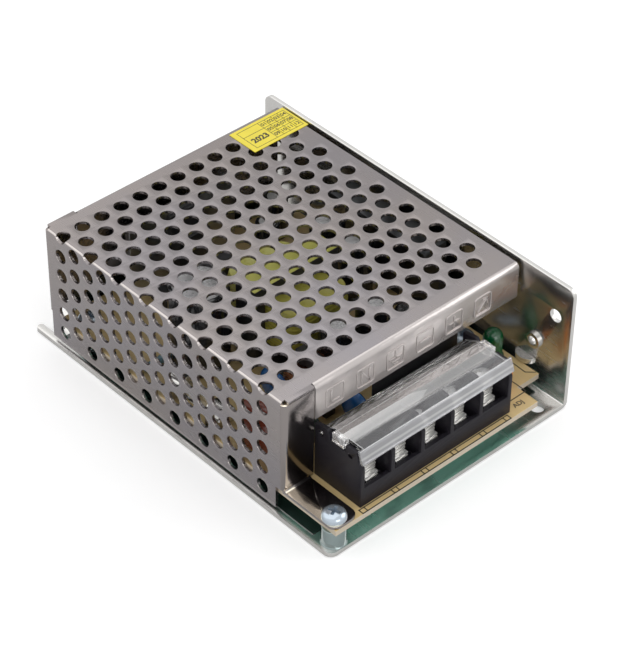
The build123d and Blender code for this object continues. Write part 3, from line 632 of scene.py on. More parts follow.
class SUPPLY_OT_cover(bpy.types.Operator):
    """Fold the perforated cover from one sheet, with its lips, flanges and foot"""

    bl_idname = "supply.cover"
    bl_label = "Perforated Cover"
    bl_options = {"REGISTER", "UNDO"}

    def execute(self, context):
        settings = context.scene.supply_cover
        sheet, bend, rim = settings.sheet / MM, settings.bend / MM, settings.rim / MM
        radius, half = settings.hole / MM / 2, settings.pitch / MM / 2
        rise = half * sqrt(3) / 2
        bend_length, right_overrun, notch_depth, hole_steps, bend_steps = 1.81, 0.6, 2.8, 24, 8
        left, right, top = COVER_LOW.x, COVER_HIGH.x + right_overrun, COVER_HIGH.z
        front, rear = COVER_LOW.y, COVER_HIGH.y
        start, end = front + bend, rear - bend
        wall_bottom = -bend_length - (top - bend - COVER_BOTTOM)
        foot_top = BOARD_TOP + sheet
        notch_side = -bend_length - (top - bend - foot_top)
        notch_end = front + notch_depth
        edge = right - left - bend
        rows = list(cover_holes(settings))
        tile = [
            (half, 0), (half, rise), (0, rise), (-half, rise),
            (-half, 0), (-half, -rise), (0, -rise), (half, -rise),
        ]

        # Both sides of the unfolded sheet, tiled round its holes
        shape = Shape()
        for level, flip in ((0.0, False), (sheet, True)):
            opening = radius + rim if level == 0.0 else radius
            ring = oval((0, 0), opening, opening, hole_steps)
            for v, centres in rows:
                for u in centres:
                    for k in range(8):
                        arc = [ring[(3 * k + i) % hole_steps] for i in range(3, -1, -1)]
                        points = [tile[k], tile[(k + 1) % 8]] + arc
                        shape.layer([(u + a, v + b) for a, b in points], level, flip)
                first, last = centres[0] - half, centres[-1] + half
                for a, b in ((wall_bottom, first), (last, edge)):
                    points = [
                        (a, v - rise), (b, v - rise), (b, v), (b, v + rise), (a, v + rise), (a, v),
                    ]
                    shape.layer(points, level, flip)
            for a, b in ((start, rows[0][0] - rise), (rows[-1][0] + rise, end)):
                points = [(wall_bottom, a), (edge, a), (edge, b), (wall_bottom, b)]
                shape.layer(points, level, flip)
        for v, centres in rows:
            for u in centres:
                loops = []
                for reach, level in ((radius + rim, 0.0), (radius + rim * 0.3, rim * 0.3),
                                     (radius, rim), (radius, sheet)):
                    ring = oval((u, v), reach, reach, hole_steps)
                    loops.append([(a, b, level) for a, b in ring])
                shape.skin(loops, 0, False)

        def side_face(u0, v0, u1, v1):
            shape.face([(u0, v0, 0), (u1, v1, 0), (u1, v1, sheet), (u0, v0, sheet)])

        side_face(edge, end, edge, start)
        side_face(edge, start, wall_bottom, start)
        side_face(wall_bottom, end, edge, end)
        side_face(wall_bottom, start, wall_bottom, end)

        # Lines for the bend and the notch over the foot, which is then cut away
        bm = shape.bm
        bmesh.ops.remove_doubles(bm, verts=bm.verts, dist=0.001)
        for line in [-bend_length * i / bend_steps for i in range(bend_steps + 1)] + [notch_side]:
            shape.split((line, 0, 0), (1, 0, 0))
        shape.split((0, notch_end, 0), (0, 1, 0))
        waste = []
        for face in bm.faces:
            centre = face.calc_center_median()
            if centre.x < notch_side - 0.001 and centre.y < notch_end - 0.001:
                waste.append(face)
        bmesh.ops.delete(bm, geom=waste, context="FACES")
        side_face(notch_side, notch_end, wall_bottom, notch_end)
        side_face(notch_side, start, notch_side, notch_end)
        for vertex in bm.verts:
            u, v, depth = vertex.co
            if u >= 0:
                vertex.co = (left + bend + u, v, top - depth)
            elif u > -bend_length:
                angle = -u / bend_length * pi / 2
                reach = bend - depth
                vertex.co = (
                    left + bend - reach * sin(angle), v, top - bend + reach * cos(angle)
                )
            else:
                vertex.co = (left + depth, v, top - bend + u + bend_length)
        finish = cover_finish(settings)
        place("cover_sheet", shape.mesh("cover_sheet", 40, False), [finish], "perforated_cover",
              ["perforated_cover", "cover_side_wall"])

        # Lips at the front and rear, flanges at their left ends, and the foot
        # Finish 2, pale, is the lip's finish with its painted light; finish 1, bright, carries the
        # foot's painted reflection.
        plain, bright, pale = 0, 1, 2
        flange_width, slit, gap = 9.2, 0.35, 0.08
        foot_corner, heel_radius = 2.2, 0.7
        flange = left + flange_width
        lip = flange + slit
        outer = corner((0, 0), bend, 0, 90, bend_steps)
        inner = corner((0, 0), bend - sheet, 0, 90, 5)
        flanges = Shape()
        lip_bottom, rear_bottom = low("cover_front_lip").z, low("cover_rear_wall").z
        for bottom, face_y, turn, part in ((lip_bottom, front, 1, pale),
                                           (rear_bottom, rear, -1, plain)):
            def over(arc):
                return [(face_y + turn * (bend - a), top - bend + b) for a, b in arc]

            outline = [(face_y + turn * bend, top)] + over(outer[::-1])
            outline += [(face_y, bottom), (face_y + turn * sheet, bottom)] + over(inner)
            flanges.prism(outline, (lip, 0, 0), Y_AXIS, Z_AXIS, (right - lip, 0, 0), part)
        for bottom, face_y, turn, part in ((foot_top, front, 1, bright),
                                           (rear_bottom, rear, -1, plain)):
            def beside(arc):
                return [(left + bend - a, face_y + turn * (bend - b)) for a, b in arc]

            outline = beside(outer) + [(flange, face_y), (flange, face_y + turn * sheet)]
            outline += beside(inner[::-1])
            height = top - sheet - gap - bottom
            flanges.prism(outline, (0, 0, bottom), X_AXIS, Y_AXIS, (0, 0, height), part)
            near, far = sorted((face_y, face_y + turn * bend))
            flanges.block(left + bend, flange, near, far, top - sheet, top)
        foot_left, foot_right, foot_front = FOOT_LOW.x, FOOT_HIGH.x, FOOT_LOW.y + foot_corner
        foot = (
            [(foot_left, front + sheet)]
            + corner((foot_left + foot_corner, foot_front), foot_corner, 180, 270)
            + corner((foot_right - foot_corner, foot_front), foot_corner, 270, 360)
            + [(foot_right, front + sheet)]
        )
        flanges.prism(foot, (0, 0, BOARD_TOP), X_AXIS, Y_AXIS, (0, 0, sheet), bright)
        heel = [(front, foot_top), (front, foot_top + heel_radius)]
        heel += corner((front - heel_radius, foot_top + heel_radius), heel_radius, 0, -90)[1:]
        flanges.prism(heel, (foot_left, 0, 0), Y_AXIS, Z_AXIS, (foot_right - foot_left, 0, 0),
                      bright)
        place("cover_flanges", flanges.soften(0.09),
              [finish, mirror_finish(settings), lip_finish()], "perforated_cover",
              ["cover_front_lip", "cover_rear_wall", "cover_edge_flanges", "cover_foot"])
        return {"FINISHED"}


def stroke(shape, start, end, width, origin, across, up, reach, finish=0):
    """Straight stroke of a sign on a flat face."""
    run = Vector((end[0] - start[0], end[1] - start[1])).normalized() * width / 2
    side = Vector((-run.y, run.x))
    a, b = Vector(start) - run, Vector(end) + run
    outline = [tuple(a - side), tuple(b - side), tuple(b + side), tuple(a + side)]
    shape.prism(outline, origin, across, up, reach, finish)


# Strokes of each sign, from its centre: live, neutral, earth, minus, plus and the adjuster
SIGNS = [
    [((-1.1, 1.6), (-1.1, -1.6)), ((-1.1, -1.6), (1.2, -1.6))],
    [((-1.2, -1.6), (-1.2, 1.6)), ((-1.2, 1.6), (1.2, -1.6)), ((1.2, -1.6), (1.2, 1.6))],
    [((0, 1.8), (0, 0.1)), ((-1.8, 0.1), (1.8, 0.1)), ((-1.1, -0.8), (1.1, -0.8)),
     ((-0.4, -1.7), (0.4, -1.7))],
    [((-1.5, 0), (1.5, 0))],
    [((-1.5, 0), (1.5, 0)), ((0, -1.5), (0, 1.5))],
    [((-1.4, -1.4), (1.4, 1.4)), ((0.1, 1.5), (1.4, 1.4)), ((1.5, 0.1), (1.4, 1.4))],
]


class SUPPLY_OT_lip_signs(bpy.types.Operator):
    """Press the signs of the terminals into the front lip"""

    bl_idname = "supply.lip_signs"
    bl_label = "Lip Signs"
    bl_options = {"REGISTER", "UNDO"}

    def execute(self, context):
        sink, below_top, height, line = 0.1, 5.9, 0.3, 0.55
        lift = -Y_AXIS * height
        frame_outer = rounded(-2.9, 2.9, -2.9, 2.9, 0.9)
        frame_inner = rounded(-2.5, 2.5, -2.5, 2.5, 0.6)
        places = [middle(f"terminal_screw_{n + 1}").x for n in range(POLES)]
        places.append(places[-1] + TERMINAL_PITCH)
        shape = Shape()
        for sign, x in zip(SIGNS, places):
            origin = Vector((x, COVER_LOW.y + sink, COVER_HIGH.z - below_top))
            outer, inner = [
                [origin + X_AXIS * a + Z_AXIS * b for a, b in ring]
                for ring in (frame_outer, frame_inner)
            ]
            raised_outer, raised_inner = [[p + lift for p in ring] for ring in (outer, inner)]
            shape.skin([outer, raised_outer, raised_inner, inner], 0, False)
            for start, end in sign:
                stroke(shape, start, end, line, origin, X_AXIS, Z_AXIS, lift)
        # The signs share the lip's finish and its painted light.
        place("lip_signs", shape.soften(0.12), [lip_finish()], "cover_front_lip")
        return {"FINISHED"}


# Base, film, standoffs and the screws that hold the case together


def screw_mesh(centre, head, rise, shank, depth, recess, slot=0.0):
    """Pan head screw on a face at its centre, with a cross recess and, at choice, a slot."""
    shape = Shape()
    crown = [
        (head - 0.12, 0.0), (head, 0.12), (head, rise * 0.38), (head * 0.93, rise * 0.62),
        (head * 0.78, rise * 0.84), (head * 0.5, rise * 0.97), (head * 0.22, rise),
        (0.0, rise),
    ]
    shape.turned([(0.0, -depth), (shank, -depth), (shank, 0.0)] + crown, centre, steps=40)
    arm, half = recess, recess * 0.27
    cross = [
        (arm, -half), (arm, half), (half, half), (half, arm), (-half, arm), (-half, half),
        (-arm, half), (-arm, -half), (-half, -half), (-half, -arm), (half, -arm), (half, -half),
    ]
    turn = Matrix.Rotation(radians(24), 2)
    cross = [tuple(turn @ Vector(point)) for point in cross]
    cutter = Shape()
    top = Vector(centre) + Z_AXIS * (rise + 0.1)
    cutter.prism(cross, top, X_AXIS, Y_AXIS, (0, 0, -rise * 0.75), 0, 0.55)
    made = cut(shape.mesh("screw"), cutter.mesh("cutter"))
    if slot:
        groove = Shape()
        long_side, short_side = turn @ Vector((head * 1.05, 0)), turn @ Vector((0, slot / 2))
        outline = [tuple(long_side - short_side), tuple(long_side + short_side),
                   tuple(short_side - long_side), tuple(-long_side - short_side)]
        groove.prism(outline, top, X_AXIS, Y_AXIS, (0, 0, -rise * 0.42))
        made = cut(made, groove.mesh("groove"))
    return made


def joined(meshes, name):
    """One mesh from several."""
    bm = bmesh.new()
    for mesh in meshes:
        bm.from_mesh(mesh)
    made = bpy.data.meshes.new(name)
    bm.to_mesh(made)
    bm.free()
    made.shade_smooth()
    made.set_sharp_from_angle(angle=radians(SMOOTH_ANGLE))
    return made


def screw_places():
    """Centres of the four case screws: at the foot, and three inside."""
    board_high = high("circuit_board")
    foot_x, foot_inset, side_inset, rear_inset, front_inset = -35.0, 3.1, 4.6, 5.8, 11.6
    inside_left, inside_right = BOARD_LOW.x + side_inset, board_high.x - side_inset
    return [
        (foot_x, FOOT_LOW.y + foot_inset, FOOT_HIGH.z),
        (inside_left, board_high.y - rear_inset, BOARD_TOP),
        (inside_right, board_high.y - rear_inset, BOARD_TOP),
        (inside_right, COVER_LOW.y + front_inset, BOARD_TOP),
    ]


class SUPPLY_OT_base(bpy.types.Operator):
    """Dress the base, its film, the two thin sheets that stand on it, a fold of film and a dark
    sheet of painted shade, and the standoffs
    """

    bl_idname = "supply.base"
    bl_label = "Base"
    bl_options = {"REGISTER", "UNDO"}

    def execute(self, context):
        settings = context.scene.supply_cover
        steel = plated_metal(
            "bright_zinc", settings.base_steel, 0.26, (1.0, 0.08, 1.0), 0.06, 0.000001
        )
        nodes = ["base_chassis", "base_side_wall"]
        sheet = copied(*nodes, joint=low("base_side_wall").z).soften(0.10)
        place("base_sheet", sheet, [steel], "base_chassis", nodes)
        film = moulded("insulating_film", (0.012, 0.02, 0.016), 0.2, coat=0.5)
        dress("insulating_film", film)

        # Film folded up inside the rear wall; behind the terminals, a black sheet that paints the
        # shade of the dark inside
        fold_left, fold_right, fold_front, fold_rear = -31.0, 35.2, 47.79, 48.04
        fold_foot, fold_top = 1.3, BOARD_TOP + 4.2
        fold = Shape()
        fold.block(fold_left, fold_right, fold_front, fold_rear, fold_foot, fold_top)
        place("film_fold", fold, [film], "insulating_film")
        painted_shade_sheet = moulded("painted_shade_sheet", (0.012, 0.012, 0.013), 0.4)
        shade_sheet_left, shade_sheet_right, shade_sheet_front = -8.2, BLOCK_HIGH.x - 1.1, BLOCK_HIGH.y + 1.8
        thickness, height = 0.3, 14.4
        shade_sheet = Shape()
        shade_sheet.block(shade_sheet_left, shade_sheet_right, shade_sheet_front, shade_sheet_front + thickness,
                      BOARD_TOP, BOARD_TOP + height)
        place("painted_shade_behind_terminals", shade_sheet, [painted_shade_sheet], "insulating_film")

        zinc = plated_metal("standoff_zinc", (0.30, 0.36, 0.36), 0.12, (1.0, 1.0, 0.2))
        base_top = low("board_standoffs").z
        stand = high("board_standoffs").z - base_top
        profile = [(0, 0), (3.15, 0), (3.1, 0.2), (2.95, 0.35), (2.95, stand - 0.2),
                   (2.8, stand), (0, stand)]
        posts = Shape()
        for x, y, _ in screw_places():
            posts.turned(profile, (x, y, base_top), steps=40)
        place("standoff_posts", posts, [zinc], "board_standoffs", ["board_standoffs"])
        return {"FINISHED"}


class SUPPLY_OT_case_screws(bpy.types.Operator):
    """Turn the pan head screws of the case"""

    bl_idname = "supply.case_screws"
    bl_label = "Case Screws"
    bl_options = {"REGISTER", "UNDO"}

    def execute(self, context):
        zinc = plated_metal("blue_white_zinc", (0.50, 0.57, 0.64), 0.16, (1.0, 1.0, 1.0),
                            metallic=0.7)
        meshes = [
            screw_mesh(centre, head=3.0, rise=2.1, shank=1.4, depth=2.0, recess=1.55)
            for centre in screw_places()
        ]
        mesh = joined(meshes, "pan_head_screws")
        place("pan_head_screws", mesh, [zinc], "case_screws", ["case_screws"])
        return {"FINISHED"}


# Circuit board


def lettering(text, size, centre, lift=0.02, bold=0.02):
    """Flat letters at a place, in millimetres, grown all round by a share of their size."""
    curve = bpy.data.curves.new("letters", "FONT")
    curve.body = text
    curve.size = size * MM
    curve.offset = bold * size * MM
    curve.align_x, curve.align_y = "CENTER", "CENTER"
    curve.resolution_u = 3
    holder = bpy.data.objects.new("letters", curve)
    bpy.context.scene.collection.objects.link(holder)
    graph = bpy.context.evaluated_depsgraph_get()
    mesh = bpy.data.meshes.new_from_object(holder.evaluated_get(graph))
    bpy.data.objects.remove(holder)
    mesh.transform(Matrix.Translation(Vector(centre) * MM + Z_AXIS * lift * MM))
    return mesh


class SUPPLY_OT_board(bpy.types.Operator):
    """Dress the circuit board and print its lines"""

    bl_idname = "supply.board"
    bl_label = "Circuit Board"
    bl_options = {"REGISTER", "UNDO"}

    def execute(self, context):
        settings = context.scene.supply_board
        finish = Finish("board_laminate", Coat_Weight=0.25, Coat_Roughness=0.2)
        tan = settings.laminate
        pale = tuple(min(1.0, part * 1.22) for part in tan)
        weave = finish.clouds(700.0, 5.0, finish.stretched(1.0, 0.35, 1.0))
        body = finish.mixed(weave, tan, pale)
        cut_edge = finish.mixed(finish.clouds(1500.0), (0.62, 0.54, 0.42), (0.52, 0.43, 0.32))
        up = finish.facing("Z")
        traces = finish.spread(finish.clouds(120.0, 1.0), 0.49, 0.52)
        green = settings.solder_side
        under = finish.mixed(traces, green, tuple(part * 1.7 for part in green))
        sides = finish.mixed(up > 0.5, cut_edge, body)
        finish.set(Base_Color=finish.mixed(up < -0.5, sides, under))
        finish.set(Roughness=weave * 0.2 + 0.36)
        finish.relief(weave, 0.000012)
        softened("circuit_board", "board_sheet", 0.05, finish, 1)
        ink = moulded("board_ink", settings.ink, 0.5)
        shape = Shape()

        def printed(start, end):
            stroke(shape, start, end, settings.line / MM, (0, 0, BOARD_TOP + 0.005), X_AXIS,
                   Y_AXIS, (0, 0, 0.02))

        # Two rails before the terminals with a mark at each side of each pole
        first, last = BLOCK_LOW.x - 0.7, BLOCK_HIGH.x - 1.3
        near_block, far_rail = BLOCK_LOW.y - 0.3, BLOCK_LOW.y - 1.7
        mark_width = 1.5
        for y in (near_block, far_rail):
            printed((first, y), (last, y))
        marks = [first, first + mark_width]
        for number in range(1, POLES):
            gap = BLOCK_LOW.x + TERMINAL_PITCH * number + 0.6
            marks += [gap - mark_width / 2, gap + mark_width / 2]
        marks += [last - mark_width, last]
        for x in marks:
            printed((x, near_block), (x, far_rail))
        edge = BOARD_LOW.y
        catch = [(33.9, edge + 13.9), (33.7, edge + 9.4), (35.5, edge + 7.7)]
        trimmer = [(21.3, edge + 11.9), (21.3, edge + 4.5), (28.9, edge + 4.5), (28.9, edge + 11.9)]
        for marked in (catch, trimmer):
            for start, end in zip(marked, marked[1:]):
                printed(start, end)
        place("board_lines", shape, [ink], "circuit_board")
        words = [
            lettering("ADJ", 1.9, (24.2, edge + 2.5, BOARD_TOP)),
            lettering("-", 2.0, (32.2, edge + 12.3, BOARD_TOP)),
        ]
        place("board_marks", joined(words, "board_marks"), [ink], "circuit_board")
        return {"FINISHED"}


# Terminal block


def terminal_metal(name, settings, metallic):
    """Bright nickel of the clamps and screws."""
    return plated_metal(name, settings.metal, 0.16, (1.0, 1.0, 1.0), 0.05, metallic=metallic)


class SUPPLY_OT_terminal_housing(bpy.types.Operator):
    """Mould the housing of the terminal block"""

    bl_idname = "supply.terminal_housing"
    bl_label = "Terminal Housing"
    bl_options = {"REGISTER", "UNDO"}

    def execute(self, context):
        settings = context.scene.supply_terminal
        plastic = moulded("black_moulding", settings.moulding, 0.42, 0.00002, gloss=0.22)
        shape = copied("terminal_housing").soften(settings.softening / MM)
        mesh = shape.mesh("terminal_moulding")
        inset, below_top, half_width, half_height, depth = 3.7, 2.87, 0.75, 0.5, 0.7
        cutter = Shape()
        for x in (BLOCK_LOW.x, BLOCK_HIGH.x):
            centre = (BLOCK_LOW.y + inset, BLOCK_HIGH.z - below_top)
            outline = oval(centre, half_width, half_height, 20)
            cutter.prism(outline, (x - depth, 0, 0), Y_AXIS, Z_AXIS, (2 * depth, 0, 0))
        mesh = cut(mesh, cutter.mesh("latch_holes"))
        place("terminal_moulding", mesh, [plastic], "terminal_housing", ["terminal_housing"])
        tin = plated_metal("bright_tin", (0.6, 0.59, 0.57), 0.2, (1.0, 1.0, 1.0))
        softened("terminal_contacts", "contact_bars", 0.08, tin)
        return {"FINISHED"}


class SUPPLY_OT_terminal_metal(bpy.types.Operator):
    """Press the ridged clamps and turn the terminal screws"""

    bl_idname = "supply.terminal_metal"
    bl_label = "Clamps and Screws"
    bl_options = {"REGISTER", "UNDO"}

    def execute(self, context):
        settings = context.scene.supply_terminal
        metal = terminal_metal("clamp_nickel", settings, 0.6)
        bright = terminal_metal("screw_nickel", settings, 0.3)
        plate_half, nose_half, step_half = 2.4, 1.9, 2.1
        nose_reach, step_reach, root = 1.9, 1.6, 0.35
        nose_height, step_height, cut_gap = 0.6, 1.25, 0.1
        ridge_half, ridge_wider, ridge_front, ridge_back, ridge_above = 2.3, 0.2, 0.43, 0.1, 2.0
        wing_outer, wing_top, wing_side = 3.4, 2.43, 2.7
        head, head_rise = 2.9, 2.4
        for number in range(1, POLES + 1):
            node = f"terminal_clamp_{number}"
            near, far = low(node), high(node)
            x = (near.x + far.x) / 2
            shape = Shape()

            def plate(half, *rest):
                shape.block(x - half, x + half, *rest)

            plate(plate_half, near.y, far.y, near.z, far.z)
            back, tongue = near.y + root, near.z + step_height
            plate(nose_half, near.y - nose_reach, back, near.z + cut_gap, near.z + nose_height)
            plate(step_half, near.y - step_reach, back, near.z + nose_height + cut_gap, tongue)
            rise = (far.z + ridge_above - tongue) / settings.ridges
            for ridge in range(settings.ridges):
                front = near.y - ridge_front + ridge_back * ridge
                base = tongue + cut_gap + rise * ridge
                plate(ridge_half + ridge_wider * ridge, front, back, base, base + rise * 0.8)
            for side in (-1, 1):
                outer, inner = sorted((x + side * wing_outer, x + side * wing_top))
                shape.block(outer, inner, near.y + 1.3, far.y, far.z - 0.8, far.z - 0.02)
                outer, inner = sorted((x + side * wing_outer, x + side * wing_side))
                shape.block(outer, inner, near.y + 1.1, far.y, near.z + 0.3, far.z - 0.5)
            mesh = shape.soften(0.09).mesh(f"clamp_{number}")
            place(f"ridged_clamp_{number}", mesh, [metal], node, [node])
            node = f"terminal_screw_{number}"
            near, far = low(node), high(node)
            seat = far.z - head_rise
            mesh = screw_mesh((x, (near.y + far.y) / 2, seat), head, head_rise, shank=1.7,
                              depth=seat - near.z, recess=1.5, slot=0.75)
            place(f"clamp_screw_{number}", mesh, [bright], node, [node])
        return {"FINISHED"}


class SUPPLY_OT_lid(bpy.types.Operator):
    """Mould the clear lid over the terminals"""

    bl_idname = "supply.lid"
    bl_label = "Clear Lid"
    bl_options = {"REGISTER", "UNDO"}

    def execute(self, context):
        clear = clear_plastic("clear_polycarbonate", (0.97, 0.96, 0.95), 0.02, 0.97, 0.6)
        front = low("terminal_cover").y
        sheen_start, sheen_end = front + 4.2, front + 5.2
        highlight_low, highlight_high, highlight_blur = 22.15, 22.85, 0.15
        tab_width, lip_depth = 1.2, 0.9
        # Painted reflection: the front of the lid is tinted darker and the rear paler, with the
        # heavier coat only on the rear.
        sheen = clear.spread(clear.axis("Y"), sheen_start * MM, sheen_end * MM)
        clear.set(Base_Color=clear.mixed(sheen, (0.84, 0.84, 0.87), (0.97, 0.95, 0.94)))
        clear.set(Coat_Weight=sheen * 0.95 + 0.05)
        edge = Finish("polished_edge", Transmission_Weight=0.35, IOR=1.5)
        marks = edge.clouds(600.0)
        edge.set(Base_Color=edge.mixed(marks, (0.86, 0.87, 0.88), (0.98, 0.98, 0.98)))
        edge.set(Roughness=marks * 0.1 + 0.15)
        lip = Finish("clear_lip", Transmission_Weight=0.55, IOR=1.5)
        # Painted highlight: a pale band across the front lip between two heights.
        height = lip.axis("Z")
        above = lip.spread(height, highlight_low * MM, (highlight_low + highlight_blur) * MM)
        below = lip.spread(height, highlight_high * MM, (highlight_high - highlight_blur) * MM)
        streak = above * below
        lip.set(Base_Color=lip.mixed(streak, (0.66, 0.66, 0.68), (0.98, 0.98, 0.98)))
        lip.set(Roughness=lip.clouds(500.0) * 0.1 + 0.1)
        shape = copied("terminal_cover").soften(0.13, finish=1)
        for face in shape.bm.faces:
            centre = face.calc_center_median()
            if not BLOCK_LOW.x + tab_width < centre.x < BLOCK_HIGH.x - tab_width:
                face.material_index = 0
            if centre.y < front + lip_depth and face.normal.y < -0.6:
                face.material_index = 2
        place("clear_lid", shape, [clear, edge, lip], "terminal_cover", ["terminal_cover"])
        return {"FINISHED"}


# Lamp, trimmer and label


class SUPPLY_OT_lamp_and_trimmer(bpy.types.Operator):
    """Turn the indicator lamp and the trimmer beside the terminals"""

    bl_idname = "supply.lamp_and_trimmer"
    bl_label = "Lamp and Trimmer"
    bl_options = {"REGISTER", "UNDO"}

    def execute(self, context):
        settings = context.scene.supply_part
        lens = Finish(
            "green_lens", Transmission_Weight=0.25, Coat_Weight=0.6, Coat_Roughness=0.03, IOR=1.5
        )
        green = settings.lamp
        deep = tuple(part * 0.5 for part in green)
        lens.set(Base_Color=lens.mixed(lens.clouds(300.0), deep, green))
        lens.set(Roughness=lens.clouds(900.0) * 0.08 + 0.08)
        centre = middle("status_led")
        radius, height = 2.5, high("status_led").z - BOARD_TOP
        shoulder = height - radius
        profile = [(0, 0), (2.8, 0), (2.9, 0.1), (2.9, 0.9), (2.8, 1.0), (2.56, 1.0)]
        profile += [(radius, 1.15)] + corner((0, shoulder), radius, 0, 90, 9)
        shape = Shape()
        shape.turned(profile, (centre.x, centre.y, BOARD_TOP), steps=40)
        place("lamp_lens", shape, [lens], "status_led", ["status_led"])
        body = moulded("trimmer_moulding", settings.trimmer, 0.36)
        softened("trimmer_body", "trimmer_case", 0.25, body)
        rotor = plated_metal("trimmer_rotor_metal", (0.6, 0.58, 0.52), 0.22)
        softened("trimmer_rotor", "trimmer_slot", 0.1, rotor)
        return {"FINISHED"}


class SUPPLY_OT_label(bpy.types.Operator):
    """Print the date label on the cover"""

    bl_idname = "supply.label"
    bl_label = "Date Label"
    bl_options = {"REGISTER", "UNDO"}

    def execute(self, context):
        settings = context.scene.supply_part
        paper = moulded("yellow_paper", settings.label, 0.38, 0.000006, 1400.0, 0.2)
        dress("date_label", paper)
        near, far = low("date_label"), high("date_label")
        ink = moulded("label_ink", (0.03, 0.027, 0.01), 0.5)
        line, raised, thickness = 0.14, 0.005, 0.01
        left_margin, right_margin, margin, year_width, heading = 1.6, 0.8, 1.0, 6.9, 2.6
        month_size, year_size, year_bold, text_lift = 1.7, 2.6, 0.04, 0.015
        x0, x1 = near.x + left_margin, far.x - right_margin
        y0, y1 = near.y + margin, far.y - margin
        split, shelf = x0 + year_width, y1 - heading
        shape = Shape()

        def ruled(a, b):
            stroke(shape, a, b, line, (0, 0, far.z + raised), X_AXIS, Y_AXIS, (0, 0, thickness))

        for y in (y0, y1):
            ruled((x0, y), (x1, y))
        for x in (x0, x1, split):
            ruled((x, y0), (x, y1))
        ruled((x0, shelf), (split, shelf))
        cell = (x1 - split) / 4
        step = (y1 - y0) / 3
        words = []
        for row in range(3):
            if row:
                ruled((split, y0 + row * step), (x1, y0 + row * step))
            for column in range(4):
                if column:
                    ruled((split + column * cell, y0), (split + column * cell, y1))
                number = (2 - row) * 4 + column + 1
                spot = (split + (column + 0.5) * cell, y0 + (row + 0.5) * step, far.z)
                words.append(lettering(f"{number:02d}", month_size, spot, text_lift))
        year = ((x0 + split) / 2, (y0 + shelf) / 2, far.z)
        words.append(lettering("2023", year_size, year, text_lift, year_bold))
        place("label_lines", shape, [ink], "date_label")
        place("label_numbers", joined(words, "label_numbers"), [ink], "date_label")
        return {"FINISHED"}


# Parts on the board


def coated(name, tint, roughness=0.22):
    """Dipped or lacquered coating with a soft, uneven gloss."""
    return moulded(name, tint, roughness, 0.00003, 380.0, 0.5)


class SUPPLY_OT_transformer(bpy.types.Operator):
    """Wind and dress the transformer"""

    bl_idname = "supply.transformer"
    bl_label = "Transformer"
    bl_options = {"REGISTER", "UNDO"}

    def execute(self, context):
        settings = context.scene.supply_part
        ferrite = moulded("ferrite", (0.02, 0.02, 0.021), 0.5, 0.00004, 1300.0)
        bright_tape = (0.82, 0.80, 0.20)
        top_tape = ferrite.mixed(ferrite.clouds(180.0), bright_tape, (0.66, 0.66, 0.14))
        taped = ferrite.facing("Z") > 0.5
        ferrite.set(Base_Color=ferrite.mixed(taped, (0.022, 0.022, 0.023), top_tape))
        softened("transformer_core", "transformer_ferrite", 0.35, ferrite)
        tape = Finish("yellow_tape", Coat_Weight=0.5, Coat_Roughness=0.12)
        shaded_tape = tuple(part * 0.72 for part in settings.tape)
        # Painted shade: the winding's front is darker tape, banded with its turns; towards the rear
        # it takes the bright tape.
        rear_start, rear_end = 4.0, 5.0
        turns = tape.bands(260.0, 1.2)
        painted_shade_front = tape.mixed(turns * tape.clouds(180.0), settings.tape, shaded_tape)
        behind = tape.spread(tape.axis("Y"), rear_start * MM, rear_end * MM)
        tape.set(Base_Color=tape.mixed(behind, painted_shade_front, bright_tape))
        tape.set(Roughness=tape.clouds(500.0) * 0.15 + 0.22)
        tape.relief(turns, 0.00012)
        near, far = low("transformer_winding"), high("transformer_winding")
        shape = Shape()
        loops = []
        steps, turn_radius = 9, 4.0
        for i in range(steps):
            height = near.z + (far.z - near.z) * i / (steps - 1)
            inset = 0.5 * (2 * i / (steps - 1) - 1) ** 4
            outline = rounded(
                near.x + inset, far.x - inset, near.y + inset, far.y - inset, turn_radius
            )
            loops.append([(a, b, height) for a, b in outline])
        shape.skin(loops)
        place("taped_winding", shape, [tape], "transformer_winding", ["transformer_winding"])
        bobbin = moulded("bobbin_moulding", (0.02, 0.017, 0.015), 0.4)
        softened("transformer_bobbin", "bobbin_foot", 0.2, bobbin)
        return {"FINISHED"}


def can(shape, centre, axis, radius, height):
    """Sleeved aluminium can with a crimp near its foot and a bare top; the scores on the top are
    drawn by the caller.
    """
    profile = [
        (0, 0.2), (radius - 1.0, 0.2), (radius - 0.15, 0.0), (radius, 0.3), (radius, 1.4),
        (radius - 0.45, 1.9), (radius - 0.45, 2.2), (radius, 2.7), (radius, height - 0.5),
        (radius - 0.15, height - 0.12), (radius - 0.5, height), (radius - 0.95, height - 0.02),
        (radius - 1.0, height - 0.25), (0, height - 0.25),
    ]
    sleeve, bare, rubber = [0], [1], [2]
    shape.turned(profile, centre, axis, 40, 0, rubber * 2 + sleeve * 9 + bare * 2)


